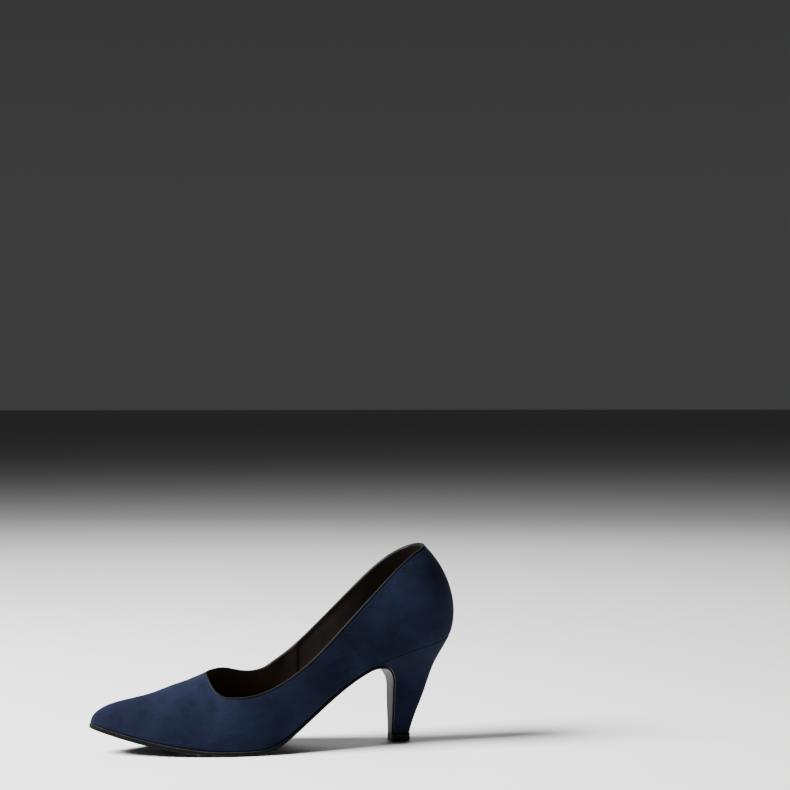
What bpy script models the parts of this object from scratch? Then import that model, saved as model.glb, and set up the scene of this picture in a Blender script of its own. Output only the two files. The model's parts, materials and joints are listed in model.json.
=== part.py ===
"""High heel pump, one left shoe: a whole-cut pointed upper on a wrapped cone heel.

Frame: metres, +Z up, floor at z = 0, origin under the middle of the shoe. The toe points
to -X, the heel to +X, the wearer's outer (lateral) side faces -Y. Lengths in this file are
millimetres with x = 0 over the heel tip, and are moved to the origin and scaled once, where
a mesh is made.

The upper's outside is a family of ribs, one pair at each station s along the shoe (0 at the
toe tip, 1 at the back of the heel). A rib climbs from the feather line, where the upper
meets the sole, at t = 0 to its end on the ridge of the vamp or above the topline at t = 1.
"""

import math

import bpy
import numpy as np

# ---------------------------------------------------------------- driving dimensions, mm
TOE_X = -194.5            # toe tip of the upper
HEEL_X = 33.0             # back of the heel seat
LENGTH = HEEL_X - TOE_X
ORIGIN = (-79.53, 1.55)    # middle of the shoe's box, in this file's x and y
TREAD_FRONT = -122.0      # the sole lies flat on the floor from here
TREAD_BACK = -100.0       # to here
SOLE_THICKNESS = 3.0
TOE_SPRING = 15.5
TOE_SPRING_POWER = 1.6
TOE_Y = 5.0               # the toe tip sits this far towards the inner side
THROAT_X = -125.4         # front of the opening

UPPER = (0.0, 0.9)        # layers of the upper, as depths under its outside
BACK_TAPE = (1.0, 1.2)
STIFFENER = (1.3, 1.8)
TOE_PUFF = (1.0, 1.8)
TOPLINE_TAPE = (1.0, 1.25)
LINING = (1.9, 2.3)
MARGIN = 12.0             # width of upper and lining turned in under the insole
MARGIN_SHARE = 0.45       # and its limit as a share of the half width
TAPE_WIDTH = 6.0
BINDING_DEPTH = 2.2
BINDING_THICKNESS = 0.35
LAYER_GAP = 0.1
BINDING_GAP = 0.35
PIECE_GAP = 0.3
SEAM_GAP = 0.3

BOARD = (2.8, 4.8)        # heights above the feather line
FILLER = (0.1, 2.1)
STEEL_SHANK = (0.9, 2.1)
PAD_THICKNESS = 1.4
PAD_GAP = 0.2
SOCK_THICKNESS = 1.0
BOARD_JOINT_X = -86.0

SOLE_PROUD = 0.7
SOLE_GAP = 0.12
FLAP_START_X = -24.0
FLAP_THICKNESS = 1.2
BREAST_X = -5.5           # front of the breast flap
BREAST_TOP_Z = 36.0
HEEL_LIP_X = -17.5
HEEL_COVER_THICKNESS = 0.8
TIP_Z = 5.3               # bottom of the heel block
TIP_HALF_WIDTH = 4.6
TOP_PIECE_HEIGHT = 5.0
PIN_X = 1.6
SCREW_X = 4.0
NAIL_SPOTS = ((-6.0, -9.0), (-6.0, 9.0), (10.0, -10.0), (10.0, 10.0), (17.0, 0.0))
RIVET_X = (-70.0, -26.0)

LATERAL, MEDIAL = -1, 1
UP = np.array([0.0, 0.0, 1.0])


# ---------------------------------------------------------------- curves
def spline(xs, ys, start=None, end=None):
    """A cubic spline through the points, with free or given end slopes."""
    xs, ys = np.array(xs, float), np.array(ys, float)
    gaps = np.diff(xs)
    rises = np.diff(ys) / gaps
    count = len(xs)
    rows, right = np.eye(count), np.zeros(count)
    for i in range(1, count - 1):
        rows[i, i - 1 : i + 2] = gaps[i - 1], 2 * (gaps[i - 1] + gaps[i]), gaps[i]
        right[i] = 6 * (rises[i] - rises[i - 1])
    if start is not None:
        rows[0, :2] = 2 * gaps[0], gaps[0]
        right[0] = 6 * (rises[0] - start)
    if end is not None:
        rows[-1, -2:] = gaps[-1], 2 * gaps[-1]
        right[-1] = 6 * (end - rises[-1])
    bend = np.linalg.solve(rows, right)

    def at(x):
        i = min(max(int(np.searchsorted(xs, x)) - 1, 0), count - 2)
        a, b, gap = xs[i + 1] - x, x - xs[i], gaps[i]
        cubic = (bend[i] * a**3 + bend[i + 1] * b**3) / (6 * gap)
        return cubic + (ys[i] / gap - bend[i] * gap / 6) * a + (ys[i + 1] / gap - bend[i + 1] * gap / 6) * b

    return at


def ease(value, low, high):
    """0 below low, 1 above high, and a smooth step between."""
    w = min(max((value - low) / (high - low), 0.0), 1.0)
    return w * w * (3 - 2 * w)


def bezier(a, b, c, d, t):
    return (1 - t) ** 3 * a + 3 * (1 - t) ** 2 * t * b + 3 * (1 - t) * t**2 * c + t**3 * d


# ---------------------------------------------------------------- the feather line
shank_z = spline(
    (TREAD_BACK, -84, -66, -43, -20, 0, HEEL_X),
    (SOLE_THICKNESS, 8.2, 21.0, 38.0, 51.0, 58.4, 67.0),
    start=0.0,
)
WIDTH_STATIONS = (0.0, 0.15, 0.25, 0.35, 0.44, 0.51, 0.58, 0.65, 0.73, 0.80, 0.87, 1.0)
half_width = {
    LATERAL: spline(WIDTH_STATIONS, (28, 28.6, 32, 36, 37.1, 33.5, 28.3, 26.4, 32.2, 41, 47, 52)),
    MEDIAL: spline(WIDTH_STATIONS, (27, 27.0, 31, 37, 36.5, 29.5, 22.5, 21.0, 29.0, 40, 47, 52)),
}


def feather_z(x):
    """Height of the line where the upper meets the sole."""
    if x < TREAD_FRONT:
        return SOLE_THICKNESS + TOE_SPRING * ((TREAD_FRONT - x) / (TREAD_FRONT - TOE_X)) ** TOE_SPRING_POWER
    return SOLE_THICKNESS if x < TREAD_BACK else float(shank_z(x))


def x_at(s):
    return TOE_X + LENGTH * (1 - math.cos(math.pi * s)) / 2


def station(x):
    return math.acos(1 - 2 * (x - TOE_X) / LENGTH) / math.pi


def feather(s, side):
    half = half_width[side](s) * math.sin(math.pi * s)
    x = x_at(s)
    return np.array([x, TOE_Y * (1 - s) ** 2 + side * half, feather_z(x)])


def plan_normal(s, side):
    """Unit vector out of the sole's outline, level with the floor."""
    if s < 1e-3:
        return np.array([-1.0, 0.0, 0.0])
    if s > 1 - 1e-3:
        return np.array([1.0, 0.0, 0.0])
    along = feather(s + 1e-4, side) - feather(s - 1e-4, side)
    normal = np.array([-side * along[1], side * along[0], 0.0])
    return normal / np.linalg.norm(normal)


def inset(s, side, distance):
    """A point of the sole's outline, moved in by distance."""
    point = feather(s, side) - plan_normal(s, side) * distance
    point[2] = feather_z(min(point[0], HEEL_X))
    return point


# ---------------------------------------------------------------- the upper's outside
rib_height = spline(
    (0.0, 0.063, 0.1325, 0.208, 0.268, 0.311, 0.347, 0.372, 0.44, 0.52, 0.62, 0.72, 0.82, 0.92, 1.0),
    (33, 33.5, 34.8, 35.8, 38.2, 42.0, 44.8, 47.5, 50.5, 46, 51, 58, 64, 66, 66.0),
)
ridge_y = spline((0.0, 0.13, 0.27, 0.372, 0.55, 0.8, 1.0), (5.0, 2.0, -4.5, -9.0, -3.0, 0.0, 0.0))
ridge_slope = spline((0.0, 0.13, 0.27, 0.372, 0.55, 0.8, 1.0), (0.0, 0.05, 0.16, 0.22, 0.05, 0.0, 0.0))
END_STATIONS = (0.3716, 0.41, 0.46, 0.52, 0.60, 0.70, 0.80, 0.90, 1.0)
end_half = {
    LATERAL: spline(END_STATIONS, (0.0, 7.0, 17.0, 22.5, 20.5, 17.7, 13.2, 7.8, 0.0), start=0.0),
    MEDIAL: spline(END_STATIONS, (0.0, 9.0, 22.0, 27.0, 24.0, 19.0, 13.2, 7.8, 0.0), start=0.0),
}
end_lean = spline((0.45, 0.6, 0.7, 0.8, 0.9, 1.0), (0.0, 2.0, 6.5, 14.5, 24.0, 29.5), start=0.0, end=0.0)
bulge = spline((0.3, 0.5, 0.7, 0.85, 1.0), (3.0, 3.0, 5.5, 7.5, 9.0))
neck = spline((0.3, 0.5, 0.7, 0.85, 1.0), (2.0, 2.0, 8.0, 19.0, 28.0))


def rib_end(s, side):
    half = end_half[side](s) if s > END_STATIONS[0] else 0.0
    lean = end_lean(s) if s > 0.45 else 0.0
    rise = rib_height(s) * math.sin(math.pi * min(s, 0.5))
    return np.array([x_at(s) - lean, ridge_y(s) + side * half, feather_z(x_at(s)) + rise])


def rib_outward(s, side):
    """The way a rib bulges: sideways along the shoe, fanning out round the heel."""
    fan = feather(s, side) - np.array([3.0, 0.0, 0.0])
    fan[2] = 0.0
    share = ease(s, 0.62, 0.84)
    way = np.array([0.0, side, 0.0]) * (1 - share) + fan / np.linalg.norm(fan) * share
    return way / np.linalg.norm(way)


def rib(s, side, t):
    """A point of the upper's outside."""
    foot, end, out = feather(s, side), rib_end(s, side), rib_outward(s, side)
    height, reach = end[2] - foot[2], abs(foot[1] - end[1])
    quarter = ease(s, 0.34, 0.62)
    vamp = 1 - quarter
    swell = 2.0 * math.sin(math.pi * min(s, 0.5)) * vamp + bulge(s) * quarter
    low = foot + out * swell + UP * height * (0.50 * vamp + 0.30 * quarter)
    over = 0.55 * reach * vamp
    drop = -side * ridge_slope(s) * over + 0.22 * height * quarter
    high = end + out * (over + neck(s) * quarter) - UP * drop
    return bezier(foot, low, high, end, t)


# ---------------------------------------------------------------- the topline
THROAT_S = station(THROAT_X)
THROAT_Z = float(rib(THROAT_S, LATERAL, 1.0)[2])
BACK_TOP_X = 15.0
topline_level = {
    LATERAL: spline(
        (-125, -115, -108, -97, -88, -72, -58, -45, -20, -2, 8, BACK_TOP_X),
        (35.6, 35.0, 35.1, 37.0, 40.4, 49.6, 60.5, 72.8, 97.8, 114.5, 121, 124.5),
    ),
    MEDIAL: spline(
        (-125, -117, -111, -104, -97, -90, -84, -78, -70, -58, -45, -20, -2, 8, BACK_TOP_X),
        (30, 28.0, 26.3, 25.8, 30, 37.0, 43.3, 48.2, 53.5, 63.0, 75.2, 99.5, 115.3, 121.3, 124.5),
    ),
}
THROAT_RADIUS = {LATERAL: 9.0, MEDIAL: 20.0}


def topline_target(x, side):
    """The topline seen from the side, with a round drop behind the throat."""
    level = topline_level[side]
    u = min(max((x - THROAT_X) / THROAT_RADIUS[side], 0.0), 1.0)
    drop = 1 - math.sqrt(1 - (1 - u) ** 2)
    return level(min(x, BACK_TOP_X)) + (THROAT_Z - level(THROAT_X)) * drop


def topline_height(point, s, side):
    """Height, but on the inner side near the throat measured down a 45 degree slope."""
    slope = (1 - ease(point[0], -115, -78)) if side == MEDIAL else 0.0
    return point[2] - slope * (point[1] - ridge_y(s))


def topline_t(s, side):
    """How far up its rib the topline crosses."""
    if s <= THROAT_S:
        return 1.0
    low, high = 0.0, 1.0
    for _ in range(30):
        middle = (low + high) / 2
        point = rib(s, side, middle)
        if topline_height(point, s, side) > topline_target(point[0], side):
            high = middle
        else:
            low = middle
    return low


# ---------------------------------------------------------------- the grid all layers share
VAMP_STEPS = 12
QUARTER_X = (-125.15, -124.6, -123.6, TREAD_FRONT, -119.5, -116, -112, -107, TREAD_BACK)
QUARTER_X += (-96.5, -93, -89.5, BOARD_JOINT_X, -82, -77, -70.5, -62.5, -53, -43, -33)
QUARTER_X += (FLAP_START_X, HEEL_LIP_X, -5, 3, 11, 18, 24, 28.6, 31.7, HEEL_X)
STATIONS = [THROAT_S * i / VAMP_STEPS for i in range(VAMP_STEPS + 1)] + [station(x) for x in QUARTER_X]
ROWS = (0.0, 0.13, 0.3, 0.5, 0.7, 0.88)
TOP_ROW = len(ROWS) + 1
MARGIN_ROWS = 2
LAST = len(STATIONS) - 1
node_cache = {}


def rib_length(s, side, top):
    points = [rib(s, side, top * i / 12) for i in range(13)]
    return sum(np.linalg.norm(b - a) for a, b in zip(points, points[1:]))


def surface_normal(s, side, t):
    """Unit vector out of the upper."""
    if s < 1e-6:
        return np.array([-1.0, 0.0, 0.0])
    s0, s1 = max(s - 1e-4, 1e-5), min(s + 1e-4, 1.0)
    t0, t1 = max(t - 1e-4, 0.0), min(t + 1e-4, 1.0)
    along = rib(s1, side, t) - rib(s0, side, t)
    upward = rib(s, side, t1) - rib(s, side, t0)
    normal = np.cross(along, upward) * -side
    if s > 1 - 1e-6:
        normal[1] = 0.0
    return normal / np.linalg.norm(normal)


def row_t(s, side, row):
    """Rib parameter of a row; the last row stays one tape width under the topline."""
    top = topline_t(s, side)
    if row == TOP_ROW:
        return top
    tape = min(TAPE_WIDTH / max(rib_length(s, side, top), 1e-6), 0.18)
    if row == TOP_ROW - 1:
        return top * (1 - tape)
    return top * (1 - tape) * ROWS[row]


def node(s, side, row):
    """Point and normal of the grid on the upper's outside."""
    key = (round(s, 7), side, row)
    if key not in node_cache:
        t = row_t(s, side, row)
        normal = surface_normal(s, side, t)
        if row == TOP_ROW and s <= THROAT_S:
            normal = normal + surface_normal(s, -side, t)
            normal = normal / np.linalg.norm(normal)
        node_cache[key] = (rib(s, side, t), normal)
    return node_cache[key]


def margin_width(s, side):
    half = half_width[side](s) * math.sin(math.pi * s)
    return min(MARGIN, MARGIN_SHARE * half + 1e-3)


def layer_point(s, side, row, depth):
    """A grid point at a depth under the outside, or above the sole on the turned-in margin."""
    if row < 0:
        share = -row / MARGIN_ROWS
        point = inset(s, side, margin_width(s, side) * share + depth * (1 - share))
        return point + UP * depth
    point, normal = node(s, side, row)
    if row == 0:
        flat = normal * np.array([1.0, 1.0, 0.0])
        point = point - flat / np.linalg.norm(flat) * depth
        point[2] = feather_z(min(point[0], HEEL_X)) + depth
        return point
    return point - normal * depth


# ---------------------------------------------------------------- meshes
def material(name, colour, roughness, metallic=0.0):
    made = bpy.data.materials.get(name)
    if made is None:
        made = bpy.data.materials.new(name)
        made.use_nodes = True
        shader = made.node_tree.nodes["Principled BSDF"]
        linear = [((c / 255 + 0.055) / 1.055) ** 2.4 for c in colour]
        shader.inputs["Base Color"].default_value = (*linear, 1.0)
        shader.inputs["Roughness"].default_value = roughness
        shader.inputs["Metallic"].default_value = metallic
    return made


def suede():
    return material("navy_suede", (30, 39, 60), 0.95)


def black_leather():
    return material("black_lining_leather", (28, 26, 26), 0.6)


def sock_leather():
    return material("tan_sock_leather", (176, 144, 110), 0.6)


def fibreboard():
    return material("fibreboard", (150, 118, 82), 0.85)


def stiffening():
    return material("stiffening_sheet", (196, 190, 176), 0.8)


def foam():
    return material("latex_foam", (226, 214, 180), 0.9)


def sole_leather():
    return material("black_sole", (44, 42, 40), 0.45)


def heel_plastic():
    return material("heel_plastic", (214, 210, 198), 0.5)


def rubber():
    return material("black_rubber", (24, 23, 22), 0.7)


def steel():
    return material("steel", (150, 152, 156), 0.35, 1.0)


def add_object(name, points, faces, look, smooth=True):
    """A mesh object from millimetre points and faces, moved to the shoe's origin."""
    mesh = bpy.data.meshes.new(name)
    moved = [((p[0] - ORIGIN[0]) / 1000, (p[1] - ORIGIN[1]) / 1000, p[2] / 1000) for p in points]
    mesh.from_pydata(moved, [], faces)
    mesh.materials.append(look)
    if smooth:
        mesh.shade_smooth()
        mesh.set_sharp_from_angle(angle=math.radians(40))
    thing = bpy.data.objects.new(name, mesh)
    bpy.context.collection.objects.link(thing)
    return thing


def triangles(quad):
    """One or two triangles of a quad, without the corners that coincide."""
    a, b, c, d = quad
    return [tri for tri in ((a, b, c), (a, c, d)) if len(set(tri)) == 3]


def slab(name, quads, outer, inner, look):
    """A closed sheet between two point functions of the same keys."""
    faces = [tri for quad in quads for tri in triangles(quad)]
    keys = sorted({key for face in faces for key in face})
    index = {key: i for i, key in enumerate(keys)}
    count = len(keys)
    solid = [[index[k] for k in face] for face in faces]
    solid += [[index[k] + count for k in reversed(face)] for face in faces]
    edges = {(face[i], face[(i + 1) % 3]) for face in faces for i in range(3)}
    for a, b in sorted(edges):
        if (b, a) not in edges:
            ia, ib = index[a], index[b]
            solid += [[ib, ia, ia + count], [ib, ia + count, ib + count]]
    points = [outer(key) for key in keys] + [inner(key) for key in keys]
    return add_object(name, points, solid, look)


def grid_quads(columns, rows, side):
    """Quads over columns and rows of one side, facing out of the shoe."""
    quads = []
    for i, j in ((i, j) for i in columns for j in rows):
        quad = ((side, i, j), (side, i + 1, j), (side, i + 1, j + 1), (side, i, j + 1))
        quads.append(quad if side == LATERAL else quad[::-1])
    return quads


def add_layer(name, first, last, low, high, depths, look, sides=(LATERAL, MEDIAL), back_seam=False):
    """A sheet of the upper between stations and rows, trimmed by half a gap where it is cut."""

    def shared(key):
        side, i, j = key
        if i == 0:
            return (0, 0, 0)
        if (j == TOP_ROW and i <= VAMP_STEPS) or (i == LAST and not back_seam):
            return (0, i, j)
        return key

    def placed(key, depth):
        side, i, j = key
        s = STATIONS[i]
        if i == first and first > 0:
            s += 0.0006
        if i == last and last < LAST:
            s -= 0.0006
        point = layer_point(s, side or LATERAL, j, depth)
        if side == 0 and i == LAST:
            point[1] = 0.0
        if side and i == LAST:
            point[1] = side * SEAM_GAP / 2
        return point

    quads = []
    for side in sides:
        quads += grid_quads(range(first, last), range(low, high), side)
    quads = [tuple(shared(key) for key in quad) for quad in quads]
    return slab(name, quads, lambda k: placed(k, depths[0]), lambda k: placed(k, depths[1]), look)


def make_upper():
    add_layer("upper", 0, LAST, -MARGIN_ROWS, TOP_ROW, UPPER, suede(), back_seam=True)


PUFF_END = 6
LINING_JOIN = STATIONS.index(station(-62.5))
COUNTER_START = STATIONS.index(station(FLAP_START_X))


def make_linings():
    add_layer("vamp_lining", 0, LINING_JOIN, -MARGIN_ROWS, TOP_ROW, LINING, black_leather())
    add_layer("quarter_lining", LINING_JOIN, LAST, -MARGIN_ROWS, TOP_ROW, LINING, black_leather())


def make_stiffeners():
    add_layer("toe_puff", 0, PUFF_END, 0, TOP_ROW, TOE_PUFF, stiffening())
    add_layer("heel_counter", COUNTER_START, LAST, 0, TOP_ROW - 2, STIFFENER, stiffening())
    for side, word in ((LATERAL, "lateral"), (MEDIAL, "medial")):
        name, first = "side_stiffener_" + word, VAMP_STEPS + 4
        add_layer(name, first, COUNTER_START, 1, TOP_ROW - 2, STIFFENER, stiffening(), (side,))


def make_tapes():
    add_layer("topline_tape", VAMP_STEPS - 1, LAST, TOP_ROW - 1, TOP_ROW, TOPLINE_TAPE, stiffening())
    add_layer("back_seam_tape", LAST - 2, LAST, 0, TOP_ROW - 2, BACK_TAPE, stiffening())


def make_binding():
    """A narrow strip folded over the topline, as a U round upper and lining."""
    outside, inside, over = -BINDING_GAP, LINING[1] + BINDING_GAP, -BINDING_GAP
    thick = BINDING_THICKNESS
    # round the U: depth under the upper's outside, and distance below its edge
    section = (
        (outside, BINDING_DEPTH), (outside, over), (inside, over), (inside, BINDING_DEPTH),
        (inside + thick, BINDING_DEPTH), (inside + thick, over), (inside, over - thick),
        (outside, over - thick), (outside - thick, over), (outside - thick, BINDING_DEPTH),
    )
    ring = [(LATERAL, i) for i in range(VAMP_STEPS, LAST + 1)]
    ring += [(MEDIAL, i) for i in range(LAST - 1, VAMP_STEPS, -1)]
    edge = [node(STATIONS[i], side, TOP_ROW) for side, i in ring]
    points, faces = [], []
    for r, (place, normal) in enumerate(edge):
        along = edge[(r + 1) % len(edge)][0] - edge[r - 1][0]
        below = np.cross(along / np.linalg.norm(along), normal)
        points += [place + below * distance - normal * depth for depth, distance in section]
    size = len(section)
    for r in range(len(ring)):
        a, b = r * size, (r + 1) % len(ring) * size
        for k in range(size):
            n = (k + 1) % size
            faces += [[a + k, b + n, b + k], [a + k, a + n, b + n]]
    add_object("topline_binding", points, faces, black_leather())


# ---------------------------------------------------------------- plates on the feather line
def add_plate(name, s0, s1, edge, bottom, top, look):
    """A plate across the shoe between two stations; edge(s, side) is its outline."""
    stops = [s0] + [s for s in STATIONS if s0 + 0.004 < s < s1 - 0.004] + [s1]
    steps = len(stops) - 1

    def shared(key):
        side, i = key
        closed = (i == 0 and s0 <= 0) or (i == steps and s1 >= 1)
        return (0, i) if closed else key

    def at(key, rise):
        side, i = key
        point = edge(stops[i], side or LATERAL)
        if side == 0 and i == steps:
            point[1] = 0.0
        return point + UP * rise(point[0])

    quads = []
    for i in range(steps):
        quad = ((LATERAL, i), (MEDIAL, i), (MEDIAL, i + 1), (LATERAL, i + 1))
        quads.append(tuple(shared(key) for key in quad))
    return slab(name, quads, lambda k: at(k, bottom), lambda k: at(k, top), look)


def level(height):
    return lambda x: height


def pad_rise(x):
    """How far the sock is lifted over the two foam pads."""
    fore = ease(x, -174, -166) - ease(x, -97, -89)
    return (PAD_THICKNESS + PAD_GAP) * (fore + ease(x, -16, -9))


def make_insole():
    joint = station(BOARD_JOINT_X)
    gap = 0.0006
    outline = lambda s, side: inset(s, side, 3.4 + 2.4 * (1 - ease(s, 0.0, 0.22)))
    low, high = level(BOARD[0]), level(BOARD[1])
    add_plate("insole_forepart", 0.0, joint - gap, outline, low, high, fibreboard())
    board = add_plate("shank_board", joint + gap, 1.0, outline, low, high, fibreboard())
    holes = []
    for x, y in NAIL_SPOTS + ((SCREW_X, 0.0),):
        holes += [(*board_point(x, y), 1.25, 12.0), (*board_point(x, y), 2.6, 2.0)]
    for x in RIVET_X:
        holes += [(*board_point(x, shank_y(x)), 1.8, 12.0), (*board_point(x, shank_y(x)), 3.3, 1.6)]
    drill(board, holes)
    filler_edge = lambda s, side: inset(s, side, margin_width(s, side) + 0.4)
    low, high = level(FILLER[0]), level(FILLER[1])
    add_plate("forepart_filler", station(-178), station(-93), filler_edge, low, high, foam())


def make_footbed():
    pad_top = level(BOARD[1] + PAD_GAP + PAD_THICKNESS)
    pad_bottom = level(BOARD[1] + PAD_GAP)
    pad_edge = lambda s, side: inset(s, side, 7.0)
    add_plate("forefoot_pad", STATIONS[8], station(TREAD_BACK), pad_edge, pad_bottom, pad_top, foam())
    add_plate("heel_pad", station(-5), 1.0, pad_edge, pad_bottom, pad_top, foam())
    sock_edge = lambda s, side: inset(s, side, 3.6 + 4.4 * (1 - ease(s, 0.0, 0.30)))
    bottom = lambda x: BOARD[1] + PAD_GAP + pad_rise(x)
    top = lambda x: bottom(x) + SOCK_THICKNESS
    add_plate("sock_lining", 0.0, 1.0, sock_edge, bottom, top, sock_leather())


def shank_y(x):
    """Middle of the steel shank: it follows the waist, then the heel's middle."""
    return -3.0 * (1 - ease(x, -40, -12))


def make_steel_shank():
    def edge(s, side):
        x = x_at(s)
        return np.array([x, shank_y(x) + side * 5.0, feather_z(x)])

    low, high = level(STEEL_SHANK[0]), level(STEEL_SHANK[1])
    shank = add_plate("steel_shank", station(-86), station(11), edge, low, high, steel())
    holes = [(*board_point(x, shank_y(x)), 1.8, 14.0) for x in RIVET_X]
    holes.append((*board_point(SCREW_X, 0.0), 2.0, 14.0))
    drill(shank, holes)


# ---------------------------------------------------------------- the heel
heel_back_x = spline(
    (0.0, 0.098, 0.254, 0.425, 0.567, 0.72, 0.861, 1.0), (7.5, 9.1, 12.4, 16.6, 19.7, 23.4, 28.0, HEEL_X)
)
heel_half = spline(
    (0.0, 0.1, 0.3, 0.5, 0.66, 0.75, 0.85, 0.93, 1.0),
    (TIP_HALF_WIDTH, 5.2, 6.9, 8.3, 10.2, 13.2, 18.2, 22.6, 26.0),
)
HEEL_TOP_GAP = 0.25


def breast_path(u):
    """The outsole's lower line in side view: under the shank, round, and down the breast."""
    x, z = FLAP_START_X, sole_bottom_z(FLAP_START_X)
    slope = (sole_bottom_z(x) - sole_bottom_z(x - 1.0)) / 1.0
    start, first = np.array([x, z]), np.array([x + 12.5, z + 10.0 * slope])
    end, second = np.array([BREAST_X, BREAST_TOP_Z]), np.array([BREAST_X, BREAST_TOP_Z + 7.5])
    return bezier(start, first, second, end, u)


def breast_normal(u):
    """Unit vector in side view from the visible side of the flap to its hidden side."""
    along = breast_path(min(u + 1e-3, 1.0)) - breast_path(max(u - 1e-3, 0.0))
    along = along / np.linalg.norm(along)
    return np.array([-along[1], along[0]])


def sole_thickness(x):
    return SOLE_THICKNESS - 0.75 * ease(x, -60, FLAP_START_X)


def sole_bottom_z(x):
    return feather_z(x) - sole_thickness(x)


def flap_thickness(u):
    start = sole_thickness(FLAP_START_X) - SOLE_GAP
    return start + (FLAP_THICKNESS - start) * ease(u, 0.0, 0.7)


def make_breast_table():
    """Where the hidden side of the flap runs, as heights and the x behind it."""
    hidden = [breast_path(u) + breast_normal(u) * flap_thickness(u) for u in np.linspace(0.0, 1.0, 60)]
    highest = max(range(len(hidden)), key=lambda i: hidden[i][1])
    hidden = hidden[highest:]
    hidden.append(np.array([BREAST_X + FLAP_THICKNESS, 0.0]))
    table = np.array(hidden[::-1])
    return table[:, 1], table[:, 0]


BREAST_Z, BREAST_BACK_X = make_breast_table()


def heel_front_x(z):
    back = float(np.interp(z, BREAST_Z, BREAST_BACK_X))
    return min(back, BREAST_X + FLAP_THICKNESS) + PIECE_GAP


def heel_z(x, v):
    return TIP_Z + v * (feather_z(min(x, HEEL_X)) - HEEL_TOP_GAP - TIP_Z)


def heel_front_at(v):
    """Where the heel's front edge meets the hidden side of the flap, at a share of its height."""
    low, high = HEEL_LIP_X, BREAST_X + FLAP_THICKNESS + PIECE_GAP
    for _ in range(30):
        middle = (low + high) / 2
        if heel_front_x(heel_z(middle, v)) < middle:
            high = middle
        else:
            low = middle
    return (low + high) / 2


def heel_surface(side, k, v):
    """The covered heel's outside: k from the breast's corner to the back, v from tip to seat."""
    seat_s = station(HEEL_LIP_X) + (1 - station(HEEL_LIP_X)) * k
    seat = feather(seat_s, side)
    seat_share = (seat[0] - HEEL_LIP_X) / (HEEL_X - HEEL_LIP_X)
    tip_share = 1 - math.cos(k * math.pi / 2)
    tip_width = math.sqrt(max(1 - tip_share**2, 0.0))
    blend = ease(v, 0.0, 1.0)
    share = tip_share + (seat_share - tip_share) * blend
    width = tip_width + (abs(seat[1]) / 26.0 - tip_width) * blend
    front = heel_front_at(v)
    x = front + share * (heel_back_x(v) - front)
    return np.array([x, side * width * heel_half(v), heel_z(x, v)])


def heel_normal(side, k, v):
    k0, k1 = max(k - 1e-3, 0.0), min(k + 1e-3, 1.0)
    v0, v1 = max(v - 1e-3, 0.0), min(v + 1e-3, 1.0)
    along = heel_surface(side, k1, v) - heel_surface(side, k0, v)
    upward = heel_surface(side, k, v1) - heel_surface(side, k, v0)
    normal = np.cross(along, upward) * -side
    normal[2] = 0.0
    if k > 1 - 1e-6:
        normal[1] = 0.0
    return normal / np.linalg.norm(normal)


HEEL_COLUMNS = 9
HEEL_LEVELS = (0.0, 0.1, 0.2, 0.32, 0.44, 0.56, 0.66, 0.74, 0.81, 0.87, 0.92, 0.96, 1.0)


def heel_point(side, column, row, depth):
    k, v = column / HEEL_COLUMNS, HEEL_LEVELS[row]
    point = heel_surface(side, k, v) - heel_normal(side, k, v) * depth
    if column == 0:
        point[0] = heel_surface(side, k, v)[0]
    if column == HEEL_COLUMNS:
        point[1] = 0.0
    point[2] = heel_z(point[0], v)
    return point


def make_heel_cover():
    rows = range(len(HEEL_LEVELS) - 1)
    quads = grid_quads(range(HEEL_COLUMNS), rows, LATERAL) + grid_quads(range(HEEL_COLUMNS), rows, MEDIAL)
    share = lambda key: (0, key[1], key[2]) if key[1] == HEEL_COLUMNS else key
    quads = [tuple(share(key) for key in quad) for quad in quads]
    at = lambda key, depth: heel_point(key[0] or LATERAL, key[1], key[2], depth)
    slab("heel_cover", quads, lambda k: at(k, 0.0), lambda k: at(k, HEEL_COVER_THICKNESS), suede())


def make_heel_block():
    """The plastic heel under its cover: rings of points from the tip to the seat."""
    depth = HEEL_COVER_THICKNESS + 2 * LAYER_GAP
    ring = [(LATERAL, c) for c in range(HEEL_COLUMNS + 1)]
    ring += [(MEDIAL, c) for c in range(HEEL_COLUMNS - 1, -1, -1)]
    size, top = len(ring), len(HEEL_LEVELS) - 1
    points = [heel_point(side, c, row, depth) for row in range(top + 1) for side, c in ring]
    faces = []
    for row in range(top):
        for r in range(size):
            a, b = row * size + r, row * size + (r + 1) % size
            faces += [[a, b, b + size], [a, b + size, a + size]]
    for c in range(HEEL_COLUMNS):
        mirror = size - 1 - c
        cap = [(c, c + 1, mirror - 1, mirror), (c, mirror, mirror - 1, c + 1)]
        faces += [[i + top * size for i in tri] for tri in triangles(cap[0])]
        faces += [list(tri) for tri in triangles(cap[1])]
    block = add_object("heel_block", points, faces, heel_plastic())
    holes = [(*board_point(x, y), 1.25, 2 * NAIL_LENGTH + 1.0) for x, y in NAIL_SPOTS]
    holes.append((*board_point(SCREW_X, 0.0), 1.9, 2 * SCREW_LENGTH + 1.0))
    holes.append((np.array([PIN_X, 0.0, TIP_Z]), UP, 2.4, 80.0))
    drill(block, holes)


# ---------------------------------------------------------------- the outsole
def heel_edge_half(side, x, z):
    """Half width of the heel at its breast, at a height."""
    top = feather_z(max(x, HEEL_LIP_X)) - HEEL_TOP_GAP
    v = min(max((z - TIP_Z) / (top - TIP_Z), 0.0), 1.0)
    return abs(heel_surface(side, 0.0, v)[1])


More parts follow.
